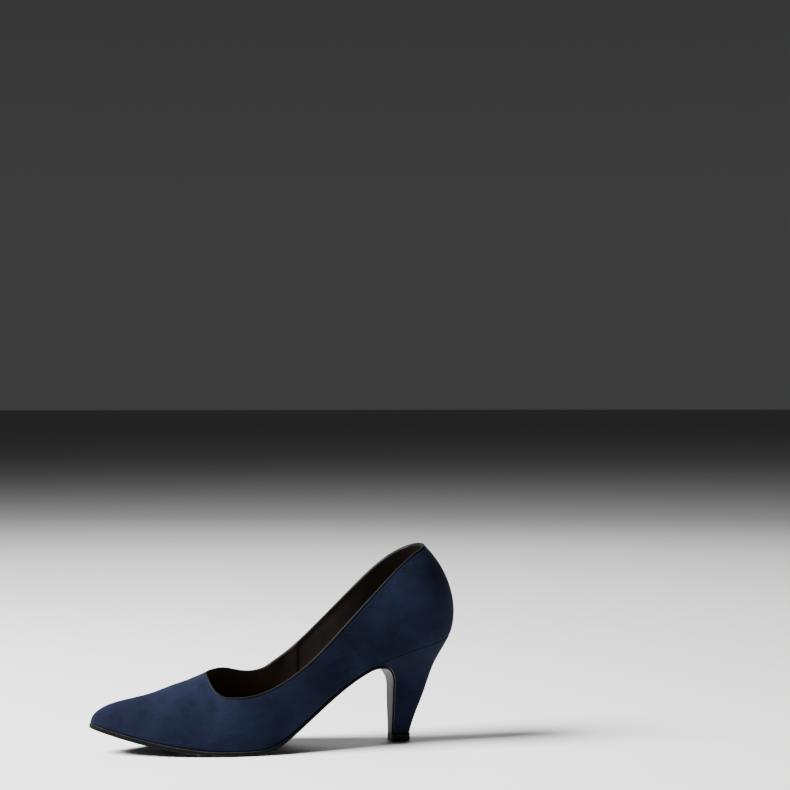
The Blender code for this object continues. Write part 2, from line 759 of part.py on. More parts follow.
def sole_sections():
    """Lower and upper points of the outsole's edge for each section, toe to heel tip."""
    sections = []
    for s in STATIONS[: STATIONS.index(station(FLAP_START_X)) + 1]:
        x = x_at(s)
        proud = SOLE_PROUD * (1 - ease(x, -95, -60)) - 0.2 * ease(x, -95, -60)
        pair = []
        for side in (LATERAL, MEDIAL):
            edge = inset(s, side, -proud)
            floor_z = feather_z(max(edge[0], TOE_X))
            low = floor_z - sole_thickness(edge[0])
            pair.append((np.array([edge[0], edge[1], low]), np.array([edge[0], edge[1], floor_z - SOLE_GAP])))
        sections.append(pair)
    for u in np.linspace(0.0, 1.0, 10)[1:]:
        sections.append(flap_section(breast_path(u), breast_normal(u), flap_thickness(u)))
    for z in (28.0, 20.0, 13.0, TOP_PIECE_HEIGHT + 0.4):
        sections.append(flap_section(np.array([BREAST_X, z]), np.array([1.0, 0.0]), FLAP_THICKNESS))
    return sections


def flap_section(visible, normal, thickness):
    hidden = visible + normal * thickness
    pair = []
    for side in (LATERAL, MEDIAL):
        sole = inset(station(FLAP_START_X), side, 0.2)[1]
        share = ease(visible[0], FLAP_START_X, -9.0)
        y = sole * (1 - share) + side * heel_edge_half(side, hidden[0], hidden[1]) * share
        pair.append((np.array([visible[0], y, visible[1]]), np.array([hidden[0], y, hidden[1]])))
    return pair


def make_outsole():
    sections = sole_sections()
    sides = (LATERAL, MEDIAL)
    quads = []
    for i in range(len(sections) - 1):
        quad = ((LATERAL, i), (MEDIAL, i), (MEDIAL, i + 1), (LATERAL, i + 1))
        quads.append(tuple((0, i) if i == 0 else (side, i) for side, i in quad))
    at = lambda key, layer: sections[key[1]][sides.index(key[0] or LATERAL)][layer]
    slab("outsole", quads, lambda k: at(k, 0), lambda k: at(k, 1), sole_leather())


# ---------------------------------------------------------------- turned pieces and holes
NAIL_LENGTH = 17.0
SCREW_LENGTH = 24.0


def board_point(x, y):
    """A point on top of the insole and the direction square to it."""
    slope = feather_z(x + 0.5) - feather_z(x - 0.5)
    axis = np.array([-slope, 0.0, 1.0]) / math.hypot(slope, 1.0)
    return np.array([x, y, feather_z(x) + BOARD[1]]), axis


def axis_frame(axis):
    side = np.cross(axis, [0.0, 1.0, 0.0])
    side = side / np.linalg.norm(side)
    return side, np.cross(axis, side)


def turned(name, base, axis, profile, look, sides=16, hollow=False):
    """A round piece: profile is (radius, distance along the axis) pairs, from end to end."""
    across, other = axis_frame(axis)
    points, faces = [], []
    for radius, along in profile:
        for k in range(sides):
            turn = 2 * math.pi * k / sides
            points.append(base + axis * along + (across * math.cos(turn) + other * math.sin(turn)) * radius)
    rings = len(profile)
    for r in range(rings if hollow else rings - 1):
        a, b = r * sides, (r + 1) % rings * sides
        for k in range(sides):
            n = (k + 1) % sides
            faces.append([a + k, a + n, b + n, b + k])
    if not hollow:
        faces.append(list(range(sides))[::-1])
        faces.append([(rings - 1) * sides + k for k in range(sides)])
    return add_object(name, points, faces, look)


def drill(target, holes):
    """Cut round holes, each given by its centre, axis, radius and length."""
    for number, (base, axis, radius, length) in enumerate(holes):
        profile = ((radius, -length / 2), (radius, length / 2))
        cutter = turned(f"{target.name}_cutter_{number}", base, axis, profile, steel())
        cutter.hide_render = True
        cutter.display_type = "WIRE"
        cut = target.modifiers.new(f"hole_{number}", "BOOLEAN")
        cut.operation = "DIFFERENCE"
        cut.solver = "EXACT"
        cut.object = cutter


def make_fasteners():
    for number, (x, y) in enumerate(NAIL_SPOTS, start=1):
        base, axis = board_point(x, y)
        profile = ((0.5, -NAIL_LENGTH), (1.0, 2.0 - NAIL_LENGTH), (1.0, -0.75), (2.2, -0.75), (2.2, -0.1))
        turned(f"heel_nail_{number}", base, axis, profile, steel())
    base, axis = board_point(SCREW_X, 0.0)
    profile = [(0.4, -SCREW_LENGTH), (1.6, 3.0 - SCREW_LENGTH), (1.6, -4.5), (1.1, -3.5), (1.1, -0.75)]
    profile += [(2.3, -0.75), (2.3, -0.1)]
    turned("heel_screw", base, axis, profile, steel())
    for x, word in zip(RIVET_X, ("front", "rear")):
        base, axis = board_point(x, shank_y(x))
        head = (STEEL_SHANK[0] - BOARD[1]) * axis[2] - 0.12
        profile = ((2.4, head - 0.4), (2.4, head), (1.5, head), (1.5, -0.6), (3.0, -0.6), (3.0, -0.1))
        turned("shank_rivet_" + word, base, axis, profile, steel())


def make_top_piece():
    """The rubber lift, the steel pin it is moulded on, and the sleeve in the heel."""
    steps = 10
    outline = []
    for side in (LATERAL, MEDIAL):
        arc = []
        for c in range(steps + 1):
            arc.append(heel_surface(side, c / steps, 0.0) + heel_normal(side, c / steps, 0.0) * 0.3)
        arc[0][0] = BREAST_X
        arc[-1][1] = 0.0
        outline += arc[:-1] if side == LATERAL else arc[::-1]
    size = len(outline)
    bottom = [np.array([p[0], p[1], 0.0]) for p in outline]
    top = [np.array([p[0], p[1], TOP_PIECE_HEIGHT]) for p in outline]
    faces = [list(range(size))[::-1], [size + i for i in range(size)]]
    faces += [[i, (i + 1) % size, size + (i + 1) % size, size + i] for i in range(size)]
    piece = add_object("top_piece", bottom + top, faces, rubber())
    drill(piece, [(np.array([PIN_X, 0.0, 5.0]), UP, 1.6, 7.0)])
    tip = np.array([PIN_X, 0.0, 0.0])
    turned("top_piece_pin", tip, UP, ((1.35, 1.8), (1.35, 24.0), (0.8, 25.0)), steel())
    tube = ((2.1, 5.6), (2.1, 42.0), (1.6, 42.0), (1.6, 5.6))
    turned("heel_sleeve", tip, UP, tube, steel(), hollow=True)


def main():
    for thing in list(bpy.data.objects):
        bpy.data.objects.remove(thing)
    make_upper()
    make_linings()
    make_stiffeners()
    make_tapes()
    make_binding()
    make_insole()
    make_footbed()
    make_steel_shank()
    make_outsole()
    make_heel_cover()
    make_heel_block()
    make_top_piece()
    make_fasteners()


main()
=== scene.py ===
"""High heel pump: the finished surfaces, materials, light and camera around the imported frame.

Lengths are millimetres with x = 0 over the heel tip, as in the shoe's design, and place()
moves them into the frame. The upper's outside is a family of ribs: one pair at each station s
(0 at the toe tip, 1 at the back of the heel), each climbing from the feather line, where the
upper meets the sole, at t = 0.
"""

import json
import math

import bmesh
import bpy
import numpy as np
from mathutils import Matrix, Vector
from mathutils.bvhtree import BVHTree


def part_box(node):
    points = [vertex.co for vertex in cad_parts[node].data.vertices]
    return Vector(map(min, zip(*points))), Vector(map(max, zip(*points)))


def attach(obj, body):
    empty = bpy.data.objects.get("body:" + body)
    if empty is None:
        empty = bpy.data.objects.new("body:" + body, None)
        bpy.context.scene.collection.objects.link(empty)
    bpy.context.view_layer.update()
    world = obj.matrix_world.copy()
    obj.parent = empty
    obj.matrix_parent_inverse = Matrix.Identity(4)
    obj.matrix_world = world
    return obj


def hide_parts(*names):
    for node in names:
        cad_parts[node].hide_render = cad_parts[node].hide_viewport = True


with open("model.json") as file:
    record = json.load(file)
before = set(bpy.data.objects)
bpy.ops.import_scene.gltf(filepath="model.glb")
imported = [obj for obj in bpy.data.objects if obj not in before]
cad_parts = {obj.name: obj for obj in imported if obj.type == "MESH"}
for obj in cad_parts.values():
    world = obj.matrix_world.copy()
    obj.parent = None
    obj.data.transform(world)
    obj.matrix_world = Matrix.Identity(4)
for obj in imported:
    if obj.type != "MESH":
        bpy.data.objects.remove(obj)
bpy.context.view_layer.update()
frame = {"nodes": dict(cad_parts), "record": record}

# ---------------------------------------------------------------- driving dimensions, mm
TOE_X = -194.5
HEEL_X = 33.0
LENGTH = HEEL_X - TOE_X
TREAD_FRONT = -122.0
TREAD_BACK = -100.0
SOLE_THICKNESS = 3.0
TOE_SPRING = 15.5
TOE_SPRING_POWER = 1.6
TOE_Y = 5.0
THROAT_X = -125.4
BACK_TOP_X = 15.0

UPPER_THICKNESS = 0.9
FEATHER_TUCK = 0.40       # how far the upper draws in where it meets the sole
LINING_DEPTH = 1.9        # from the upper's outside to the lining, low in the shoe
LINING_DEPTH_TOP = 1.35   # and at the topline
LINING_THICKNESS = 0.4
LINING_JOIN_X = -62.5
LINING_LAP = 0.012        # in stations
BINDING_DEPTH = 0.65
BINDING_THICKNESS = 0.3
BINDING_SPACING = 0.8      # between the binding's sections, along the topline
STITCH_DEPTH = 2.2        # thread row under the edge of the topline
THREAD_SPACING = 0.25     # between the places where the thread's way is measured
STITCH_PITCH = 2.3
STITCH_LENGTH = 1.8
THREAD_RADIUS = 0.15

BOARD_TOP = 4.8
PAD_LIFT = 1.6

SOLE_PROUD = 0.7
SOLE_GAP = 0.12
FLAP_START_X = -24.0
FLAP_THICKNESS = 1.2
BREAST_X = -5.5
BREAST_TOP_Z = 36.0
HEEL_LIP_X = -17.5
HEEL_COVER_THICKNESS = 0.8
TIP_Z = 5.3
TIP_HALF_WIDTH = 4.6
TOP_PIECE_HEIGHT = 5.0
PIECE_GAP = 0.3

LATERAL, MEDIAL = -1, 1
UP = np.array([0.0, 0.0, 1.0])

SOLE_LOW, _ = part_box("outsole")
TIP_LOW, TIP_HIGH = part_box("top_piece")
ORIGIN = np.array([
    TOE_X - SOLE_PROUD - SOLE_LOW[0] * 1000,
    -(TIP_LOW[1] + TIP_HIGH[1]) / 2 * 1000,
    0.0,
])


def place(points):
    """Design millimetres to metres in the frame."""
    return (np.asarray(points, float) - ORIGIN) / 1000


# ---------------------------------------------------------------- curves
def spline(xs, ys, start=None, end=None):
    """A cubic spline through the points, with free or given end slopes."""
    xs, ys = np.array(xs, float), np.array(ys, float)
    gaps = np.diff(xs)
    rises = np.diff(ys) / gaps
    count = len(xs)
    rows, right = np.eye(count), np.zeros(count)
    for i in range(1, count - 1):
        rows[i, i - 1 : i + 2] = gaps[i - 1], 2 * (gaps[i - 1] + gaps[i]), gaps[i]
        right[i] = 6 * (rises[i] - rises[i - 1])
    if start is not None:
        rows[0, :2] = 2 * gaps[0], gaps[0]
        right[0] = 6 * (rises[0] - start)
    if end is not None:
        rows[-1, -2:] = gaps[-1], 2 * gaps[-1]
        right[-1] = 6 * (end - rises[-1])
    bend = np.linalg.solve(rows, right)

    def at(x):
        x = np.asarray(x, float)
        i = np.clip(np.searchsorted(xs, x) - 1, 0, count - 2)
        a, b, gap = xs[i + 1] - x, x - xs[i], gaps[i]
        cubic = (bend[i] * a**3 + bend[i + 1] * b**3) / (6 * gap)
        return cubic + (ys[i] / gap - bend[i] * gap / 6) * a + (ys[i + 1] / gap - bend[i + 1] * gap / 6) * b

    return at


def ease(value, low, high):
    w = np.clip((np.asarray(value, float) - low) / (high - low), 0.0, 1.0)
    return w * w * (3 - 2 * w)


def bezier(a, b, c, d, t):
    return (1 - t) ** 3 * a + 3 * (1 - t) ** 2 * t * b + 3 * (1 - t) * t**2 * c + t**3 * d


def unit(vectors):
    return vectors / np.maximum(np.linalg.norm(vectors, axis=-1, keepdims=True), 1e-12)


def stack(x, y, z):
    return np.stack(np.broadcast_arrays(x, y, z), -1).astype(float)


# ---------------------------------------------------------------- the feather line
shank_z = spline(
    (TREAD_BACK, -84, -66, -43, -20, 0, HEEL_X),
    (SOLE_THICKNESS, 8.2, 21.0, 38.0, 51.0, 58.4, 67.0),
    start=0.0,
)
WIDTH_STATIONS = (0.0, 0.15, 0.25, 0.35, 0.44, 0.51, 0.58, 0.65, 0.73, 0.80, 0.87, 1.0)
half_width = {
    LATERAL: spline(WIDTH_STATIONS, (28, 28.6, 32, 36, 37.1, 33.5, 28.3, 26.4, 32.2, 41, 47, 52)),
    MEDIAL: spline(WIDTH_STATIONS, (27, 27.0, 31, 37, 36.5, 29.5, 22.5, 21.0, 29.0, 40, 47, 52)),
}


def feather_z(x):
    """Height of the line where the upper meets the sole."""
    x = np.minimum(np.asarray(x, float), HEEL_X)
    spring = np.clip((TREAD_FRONT - x) / (TREAD_FRONT - TOE_X), 0.0, None) ** TOE_SPRING_POWER
    return np.where(x < TREAD_BACK, SOLE_THICKNESS + TOE_SPRING * spring, shank_z(np.maximum(x, TREAD_BACK)))


def x_at(s):
    return TOE_X + LENGTH * (1 - np.cos(np.pi * np.asarray(s, float))) / 2


def station(x):
    return np.arccos(np.clip(1 - 2 * (np.asarray(x, float) - TOE_X) / LENGTH, -1, 1)) / np.pi


def feather(s, side):
    half = half_width[side](s) * np.sin(np.pi * s)
    x = x_at(s)
    return stack(x, TOE_Y * (1 - s) ** 2 + side * half, feather_z(x))


def plan_normal(s, side):
    """Unit vector out of the sole's outline, level with the floor."""
    s = np.clip(np.asarray(s, float), 2e-4, 1 - 2e-4)
    along = feather(s + 1e-4, side) - feather(s - 1e-4, side)
    return unit(stack(-side * along[..., 1], side * along[..., 0], 0.0))


def inset(s, side, distance):
    """A point of the sole's outline, moved in by distance."""
    point = feather(s, side) - plan_normal(s, side) * np.asarray(distance)[..., None]
    point[..., 2] = feather_z(point[..., 0])
    return point


# ---------------------------------------------------------------- the upper's outside
rib_height = spline(
    (0.0, 0.063, 0.1325, 0.208, 0.268, 0.311, 0.347, 0.372, 0.44, 0.52, 0.62, 0.72, 0.82, 0.92, 1.0),
    (33, 33.5, 34.8, 35.8, 38.2, 42.0, 44.8, 47.5, 50.5, 46, 51, 58, 64, 66, 66.0),
)
ridge_y = spline((0.0, 0.13, 0.27, 0.372, 0.55, 0.8, 1.0), (5.0, 2.0, -4.5, -9.0, -3.0, 0.0, 0.0))
ridge_slope = spline((0.0, 0.13, 0.27, 0.372, 0.55, 0.8, 1.0), (0.0, 0.05, 0.16, 0.22, 0.05, 0.0, 0.0))
END_STATIONS = (0.3716, 0.41, 0.46, 0.52, 0.60, 0.70, 0.80, 0.90, 1.0)
end_half = {
    LATERAL: spline(END_STATIONS, (0.0, 7.0, 17.0, 22.5, 20.5, 17.7, 13.2, 7.8, 0.0), start=0.0),
    MEDIAL: spline(END_STATIONS, (0.0, 9.0, 22.0, 27.0, 24.0, 19.0, 13.2, 7.8, 0.0), start=0.0),
}
end_lean = spline((0.45, 0.6, 0.7, 0.8, 0.9, 1.0), (0.0, 2.0, 6.5, 14.5, 24.0, 29.5), start=0.0, end=0.0)
bulge = spline((0.3, 0.5, 0.7, 0.85, 1.0), (3.0, 3.0, 5.5, 7.5, 9.0))
neck = spline((0.3, 0.5, 0.7, 0.85, 1.0), (2.0, 2.0, 8.0, 19.0, 28.0))


def rib_end(s, side):
    half = np.where(s > END_STATIONS[0], end_half[side](s), 0.0)
    lean = np.where(s > 0.45, end_lean(s), 0.0)
    rise = rib_height(s) * np.sin(np.pi * np.minimum(s, 0.5))
    return stack(x_at(s) - lean, ridge_y(s) + side * half, feather_z(x_at(s)) + rise)


def rib_outward(s, side):
    """The way a rib bulges: sideways along the shoe, fanning out round the heel."""
    fan = feather(s, side) - np.array([3.0, 0.0, 0.0])
    fan[..., 2] = 0.0
    share = ease(s, 0.62, 0.84)[..., None]
    return unit(np.array([0.0, side, 0.0]) * (1 - share) + unit(fan) * share)


def rib(s, side, t):
    """Points of the upper's outside."""
    s, t = np.broadcast_arrays(np.asarray(s, float), np.asarray(t, float))
    foot, end, out = feather(s, side), rib_end(s, side), rib_outward(s, side)
    height = (end[..., 2] - foot[..., 2])[..., None]
    reach = np.abs(foot[..., 1] - end[..., 1])[..., None]
    quarter = ease(s, 0.34, 0.62)[..., None]
    vamp = 1 - quarter
    swell = 2.0 * np.sin(np.pi * np.minimum(s, 0.5))[..., None] * vamp + bulge(s)[..., None] * quarter
    low = foot + out * swell + UP * height * (0.50 * vamp + 0.30 * quarter)
    over = 0.55 * reach * vamp
    drop = -side * ridge_slope(s)[..., None] * over + 0.22 * height * quarter
    high = end + out * (over + neck(s)[..., None] * quarter) - UP * drop
    return bezier(foot, low, high, end, t[..., None])


def rib_normal(s, side, t):
    """Unit vectors out of the upper."""
    s, t = np.broadcast_arrays(np.asarray(s, float), np.asarray(t, float))
    s0, s1 = np.maximum(s - 1e-4, 1e-5), np.minimum(s + 1e-4, 1.0)
    t0, t1 = np.maximum(t - 1e-4, 0.0), np.minimum(t + 1e-4, 1.0)
    along = rib(s1, side, t) - rib(s0, side, t)
    upward = rib(s, side, t1) - rib(s, side, t0)
    normal = unit(np.cross(along, upward) * -side)
    normal[s > 1 - 1e-6, 1] = 0.0
    normal[s < 1e-6] = (-1.0, 0.0, 0.0)
    return unit(normal)


# ---------------------------------------------------------------- the topline
THROAT_S = float(station(THROAT_X))
THROAT_Z = float(rib(THROAT_S, LATERAL, 1.0)[2])
topline_level = {
    LATERAL: spline(
        (-125, -115, -108, -97, -88, -72, -58, -45, -20, -2, 8, BACK_TOP_X),
        (35.6, 35.0, 35.1, 37.0, 40.4, 49.6, 60.5, 72.8, 97.8, 114.5, 121, 124.5),
    ),
    MEDIAL: spline(
        (-125, -117, -111, -104, -97, -90, -84, -78, -70, -58, -45, -20, -2, 8, BACK_TOP_X),
        (30, 28.0, 26.3, 25.8, 30, 37.0, 43.3, 48.2, 53.5, 63.0, 75.2, 99.5, 115.3, 121.3, 124.5),
    ),
}
THROAT_RADIUS = {LATERAL: 9.0, MEDIAL: 20.0}


def topline_target(x, side):
    """The topline seen from the side, with a round drop behind the throat."""
    level = topline_level[side]
    u = np.clip((x - THROAT_X) / THROAT_RADIUS[side], 0.0, 1.0)
    drop = 1 - np.sqrt(1 - (1 - u) ** 2)
    return level(np.minimum(x, BACK_TOP_X)) + (THROAT_Z - level(THROAT_X)) * drop


def topline_t(s, side):
    """How far up its rib the topline crosses."""
    s = np.asarray(s, float)
    low, high = np.zeros_like(s), np.ones_like(s)
    for _ in range(40):
        middle = (low + high) / 2
        point = rib(s, side, middle)
        slope = (1 - ease(point[..., 0], -115, -78)) if side == MEDIAL else 0.0
        height = point[..., 2] - slope * (point[..., 1] - ridge_y(s))
        above = height > topline_target(point[..., 0], side)
        high = np.where(above, middle, high)
        low = np.where(above, low, middle)
    return np.where(s <= THROAT_S, 1.0, (low + high) / 2)


def topline_stations(side, spacing):
    """Stations spaced evenly along one side's topline, from the throat to the back."""
    fine = THROAT_S + (1 - THROAT_S) * np.linspace(0, 1, 3000) ** 2.5
    points = rib(fine, side, topline_t(fine, side))
    run = np.concatenate([[0.0], np.cumsum(np.linalg.norm(np.diff(points, axis=0), axis=1))])
    count = int(round(run[-1] / spacing))
    return np.interp(np.linspace(0, run[-1], count + 1), run, fine)


def topline_ring(spacing):
    """The topline as a closed ring of points with tangents, normals and the way down."""
    points, normals = [], []
    for side in (LATERAL, MEDIAL):
        s = topline_stations(side, spacing)
        t = topline_t(s, side)
        place_on, normal = rib(s, side, t), rib_normal(s, side, np.minimum(t, 0.999))
        if side == MEDIAL:
            place_on, normal = place_on[::-1][1:-1], normal[::-1][1:-1]
        points.append(place_on)
        normals.append(normal)
    points, normals = np.concatenate(points), np.concatenate(normals)
    for _ in range(6):
        normals = unit(np.roll(normals, 1, 0) + 2 * normals + np.roll(normals, -1, 0))
    tangents = unit(np.roll(points, -1, 0) - np.roll(points, 1, 0))
    normals = unit(normals - tangents * np.sum(normals * tangents, -1, keepdims=True))
    return points, tangents, normals, np.cross(tangents, normals)


# ---------------------------------------------------------------- meshes
def grid_faces(rows, columns, wrap_rows=False, wrap_columns=False, flip=False):
    """Quads of a grid of points numbered row by row."""
    i, j = np.meshgrid(
        np.arange(rows if wrap_rows else rows - 1),
        np.arange(columns if wrap_columns else columns - 1),
        indexing="ij",
    )
    ni, nj = (i + 1) % rows, (j + 1) % columns
    quads = np.stack([i * columns + j, ni * columns + j, ni * columns + nj, i * columns + nj], -1)
    quads = quads.reshape(-1, 4)
    return quads[:, ::-1] if flip else quads


def make_piece(name, points, faces, look, nodes, weld=0.0, smooth_angle=None):
    """A visible piece from millimetre points, in place of the named CAD nodes."""
    mesh = bpy.data.meshes.new(name)
    mesh.from_pydata(place(points).tolist(), [], [list(map(int, face)) for face in faces])
    if weld:
        work = bmesh.new()
        work.from_mesh(mesh)
        bmesh.ops.remove_doubles(work, verts=work.verts, dist=weld / 1000)
        bmesh.ops.dissolve_degenerate(work, edges=work.edges, dist=1e-7)
        work.to_mesh(mesh)
        work.free()
    mesh.materials.append(look)
    mesh.shade_smooth()
    if smooth_angle:
        mesh.set_sharp_from_angle(angle=math.radians(smooth_angle))
    thing = bpy.data.objects.new(name, mesh)
    bpy.context.scene.collection.objects.link(thing)
    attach(thing, "root")
    if nodes:
        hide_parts(*nodes)
    return thing


def thicken(thing, thickness):
    """Gives a sheet its thickness on the inner side, as part of its mesh."""
    solid = thing.modifiers.new("thickness", "SOLIDIFY")
    solid.thickness = thickness / 1000
    solid.offset = -1.0
    solid.use_even_offset = False
    bpy.context.view_layer.objects.active = thing
    with bpy.context.temp_override(object=thing, active_object=thing):
        bpy.ops.object.modifier_apply(modifier=solid.name)


def paint(thing, name, values):
    """A per-point value for a material to read."""
    layer = thing.data.attributes.new(name, "FLOAT", "POINT")
    layer.data.foreach_set("value", np.asarray(values, np.float32))


# ---------------------------------------------------------------- materials
def new_material(name, roughness, metallic=0.0, **sockets):
    made = bpy.data.materials.new(name)
    made.use_nodes = True
    shader = made.node_tree.nodes["Principled BSDF"]
    shader.inputs["Roughness"].default_value = roughness
    shader.inputs["Metallic"].default_value = metallic
    for socket, value in sockets.items():
        shader.inputs[socket.replace("_", " ")].default_value = value
    return made, made.node_tree, shader


def coordinates(tree, stretch=(1.0, 1.0, 1.0), turn=(0.0, 0.0, 0.0)):
    source = tree.nodes.new("ShaderNodeTexCoord")
    mapping = tree.nodes.new("ShaderNodeMapping")
    mapping.inputs["Scale"].default_value = stretch
    mapping.inputs["Rotation"].default_value = turn
    tree.links.new(source.outputs["Object"], mapping.inputs["Vector"])
    return mapping.outputs["Vector"]


def noise_value(tree, where, size, detail=3.0, roughness=0.55, distortion=0.0):
    """Noise whose features measure about size millimetres."""
    node = tree.nodes.new("ShaderNodeTexNoise")
    node.inputs["Scale"].default_value = 1000.0 / size
    node.inputs["Detail"].default_value = detail
    node.inputs["Roughness"].default_value = roughness
    node.inputs["Distortion"].default_value = distortion
    tree.links.new(where, node.inputs["Vector"])
    return node.outputs["Fac"]


def cells(tree, where, size, feature="F1"):
    node = tree.nodes.new("ShaderNodeTexVoronoi")
    node.feature = feature
    node.inputs["Scale"].default_value = 1000.0 / size
    tree.links.new(where, node.inputs["Vector"])
    return node.outputs["Distance"]


def ranged(tree, value, low, high, to_low=0.0, to_high=1.0):
    node = tree.nodes.new("ShaderNodeMapRange")
    node.inputs["From Min"].default_value = low
    node.inputs["From Max"].default_value = high
    node.inputs["To Min"].default_value = to_low
    node.inputs["To Max"].default_value = to_high
    tree.links.new(value, node.inputs["Value"])
    return node.outputs["Result"]


def maths(tree, operation, a, b):
    node = tree.nodes.new("ShaderNodeMath")
    node.operation = operation
    for socket, value in zip(node.inputs, (a, b)):
        if isinstance(value, (int, float)):
            socket.default_value = value
        else:
            tree.links.new(value, socket)
    return node.outputs[0]


def blend_colour(tree, factor, a, b, mode="MIX"):
    node = tree.nodes.new("ShaderNodeMix")
    node.data_type = "RGBA"
    node.blend_type = mode
    for socket, value in ((node.inputs[0], factor), (node.inputs[6], a), (node.inputs[7], b)):
        if isinstance(value, (int, float)):
            socket.default_value = value
        elif isinstance(value, tuple):
            socket.default_value = (*value, 1.0)
        else:
            tree.links.new(value, socket)
    return node.outputs[2]


def bump(tree, shader, height, depth, strength=1.0):
    """Bump of a height from 0 to 1, depth millimetres deep; calls add up."""
    node = tree.nodes.new("ShaderNodeBump")
    node.inputs["Strength"].default_value = strength
    node.inputs["Distance"].default_value = depth / 1000
    tree.links.new(height, node.inputs["Height"])
    earlier = shader.inputs["Normal"].links
    if earlier:
        tree.links.new(earlier[0].from_socket, node.inputs["Normal"])
    tree.links.new(node.outputs["Normal"], shader.inputs["Normal"])


def painted(tree, name):
    node = tree.nodes.new("ShaderNodeAttribute")
    node.attribute_name = name
    return node.outputs["Fac"]


def suede(name, dark, light):
    """Short-napped suede: brushed patches, streaks along the nap and a fibre bump."""
    made, tree, shader = new_material(name, 0.95, Specular_IOR_Level=0.08)
    shader.inputs["Sheen Weight"].default_value = 0.04
    shader.inputs["Sheen Roughness"].default_value = 0.45
    shader.inputs["Sheen Tint"].default_value = (0.35, 0.45, 0.75, 1.0)
    plain = coordinates(tree)
    streaked = coordinates(tree, (0.35, 1.0, 0.8), (0.0, 0.3, 0.1))
    patches = ranged(tree, noise_value(tree, plain, 26.0, 2.0, 0.5, 0.6), 0.36, 0.64)
    brush = ranged(tree, noise_value(tree, streaked, 5.0, 4.0, 0.6, 0.8), 0.34, 0.66)
    fibre = ranged(tree, noise_value(tree, streaked, 0.9, 3.0, 0.8), 0.32, 0.68)
    nap = maths(tree, "ADD", maths(tree, "MULTIPLY", patches, 0.44), maths(tree, "MULTIPLY", brush, 0.26))
    nap = maths(tree, "ADD", nap, maths(tree, "MULTIPLY", fibre, 0.30))
    tree.links.new(blend_colour(tree, nap, dark, light), shader.inputs["Base Color"])
    bump(tree, shader, noise_value(tree, plain, 0.32, 4.0, 0.7), 0.10)
    bump(tree, shader, brush, 0.05)
    return made


def leather(name, dark, light, roughness, grain, depth, shine=0.4):
    """Finished leather with a cell grain and slight changes of tone and gloss."""
    made, tree, shader = new_material(name, roughness, Specular_IOR_Level=shine)
    plain = coordinates(tree)
    tone = ranged(tree, noise_value(tree, plain, 14.0, 4.0), 0.3, 0.7)
    pores = cells(tree, plain, grain)
    colour = blend_colour(tree, tone, dark, light)
    colour = blend_colour(tree, ranged(tree, pores, 0.0, 0.5, 0.25, 0.0), colour, dark)
    tree.links.new(colour, shader.inputs["Base Color"])
    gloss = ranged(tree, noise_value(tree, plain, 6.0, 3.0), 0.3, 0.7, roughness - 0.07, roughness + 0.08)
    tree.links.new(gloss, shader.inputs["Roughness"])
    bump(tree, shader, pores, depth)
    bump(tree, shader, noise_value(tree, plain, grain * 3, 3.0), depth)
    return made


def sole_finish(name):
    """Dressed sole: glossy dark face, inked edges, and a speckled painted highlight along the top of the
    edge.
    """
    made, tree, shader = new_material(name, 0.45, Specular_IOR_Level=0.06)
    plain = coordinates(tree)
    long_way = coordinates(tree, (0.15, 1.0, 0.15))
    face = blend_colour(
        tree, noise_value(tree, long_way, 3.0, 4.0), (0.012, 0.0105, 0.009), (0.022, 0.019, 0.016)
    )
    ink = blend_colour(tree, noise_value(tree, plain, 2.0), (0.0012, 0.0012, 0.0012), (0.003, 0.003, 0.003))
    colour = blend_colour(tree, painted(tree, "edge"), face, ink)
    speckle = ranged(tree, noise_value(tree, plain, 0.6, 3.0, 0.7), 0.42, 0.56)
    # painted highlight: a lighter speckled line on the upward face of the sole's edge, where the light falls
    highlight_line = maths(tree, "MULTIPLY", painted(tree, "edge_highlight"), speckle)
    colour = blend_colour(tree, highlight_line, colour, (0.045, 0.043, 0.040))
    scratches = ranged(tree, noise_value(tree, plain, 1.6, 6.0, 0.75), 0.5, 0.68)
    scuff = maths(tree, "MULTIPLY", painted(tree, "tread"), scratches)
    colour = blend_colour(tree, scuff, colour, (0.08, 0.075, 0.068))
    tree.links.new(colour, shader.inputs["Base Color"])
    rough = ranged(tree, noise_value(tree, long_way, 4.0, 4.0), 0.3, 0.7, 0.38, 0.54)
    rough = maths(tree, "ADD", rough, maths(tree, "MULTIPLY", painted(tree, "edge"), 0.12))
    rough = maths(tree, "ADD", rough, maths(tree, "MULTIPLY", painted(tree, "tread"), 0.25))
    tree.links.new(rough, shader.inputs["Roughness"])
    bump(tree, shader, noise_value(tree, plain, 0.7, 4.0, 0.6), 0.03)
    bump(tree, shader, highlight_line, 0.08)
    return made


def rubber(name):
    made, tree, shader = new_material(name, 0.6, Specular_IOR_Level=0.15)
    plain = coordinates(tree)
    tone = ranged(tree, noise_value(tree, plain, 1.4, 5.0, 0.7), 0.35, 0.7)
    colour = blend_colour(tree, tone, (0.002, 0.002, 0.002), (0.008, 0.0075, 0.007))
    tree.links.new(colour, shader.inputs["Base Color"])
    tree.links.new(ranged(tree, tone, 0.0, 1.0, 0.5, 0.72), shader.inputs["Roughness"])
    bump(tree, shader, noise_value(tree, plain, 0.5, 4.0, 0.7), 0.06)
    return made


def thread(name):
    """Twisted sewing thread."""
    made, tree, shader = new_material(name, 0.8, Specular_IOR_Level=0.1)
    ply = noise_value(tree, coordinates(tree, (1.0, 3.0, 1.0), (0.5, 0.6, 0.7)), 0.3, 1.0)
    colour = blend_colour(tree, ply, (0.004, 0.006, 0.015), (0.016, 0.021, 0.045))
    tree.links.new(colour, shader.inputs["Base Color"])
    bump(tree, shader, ply, 0.06)
    return made


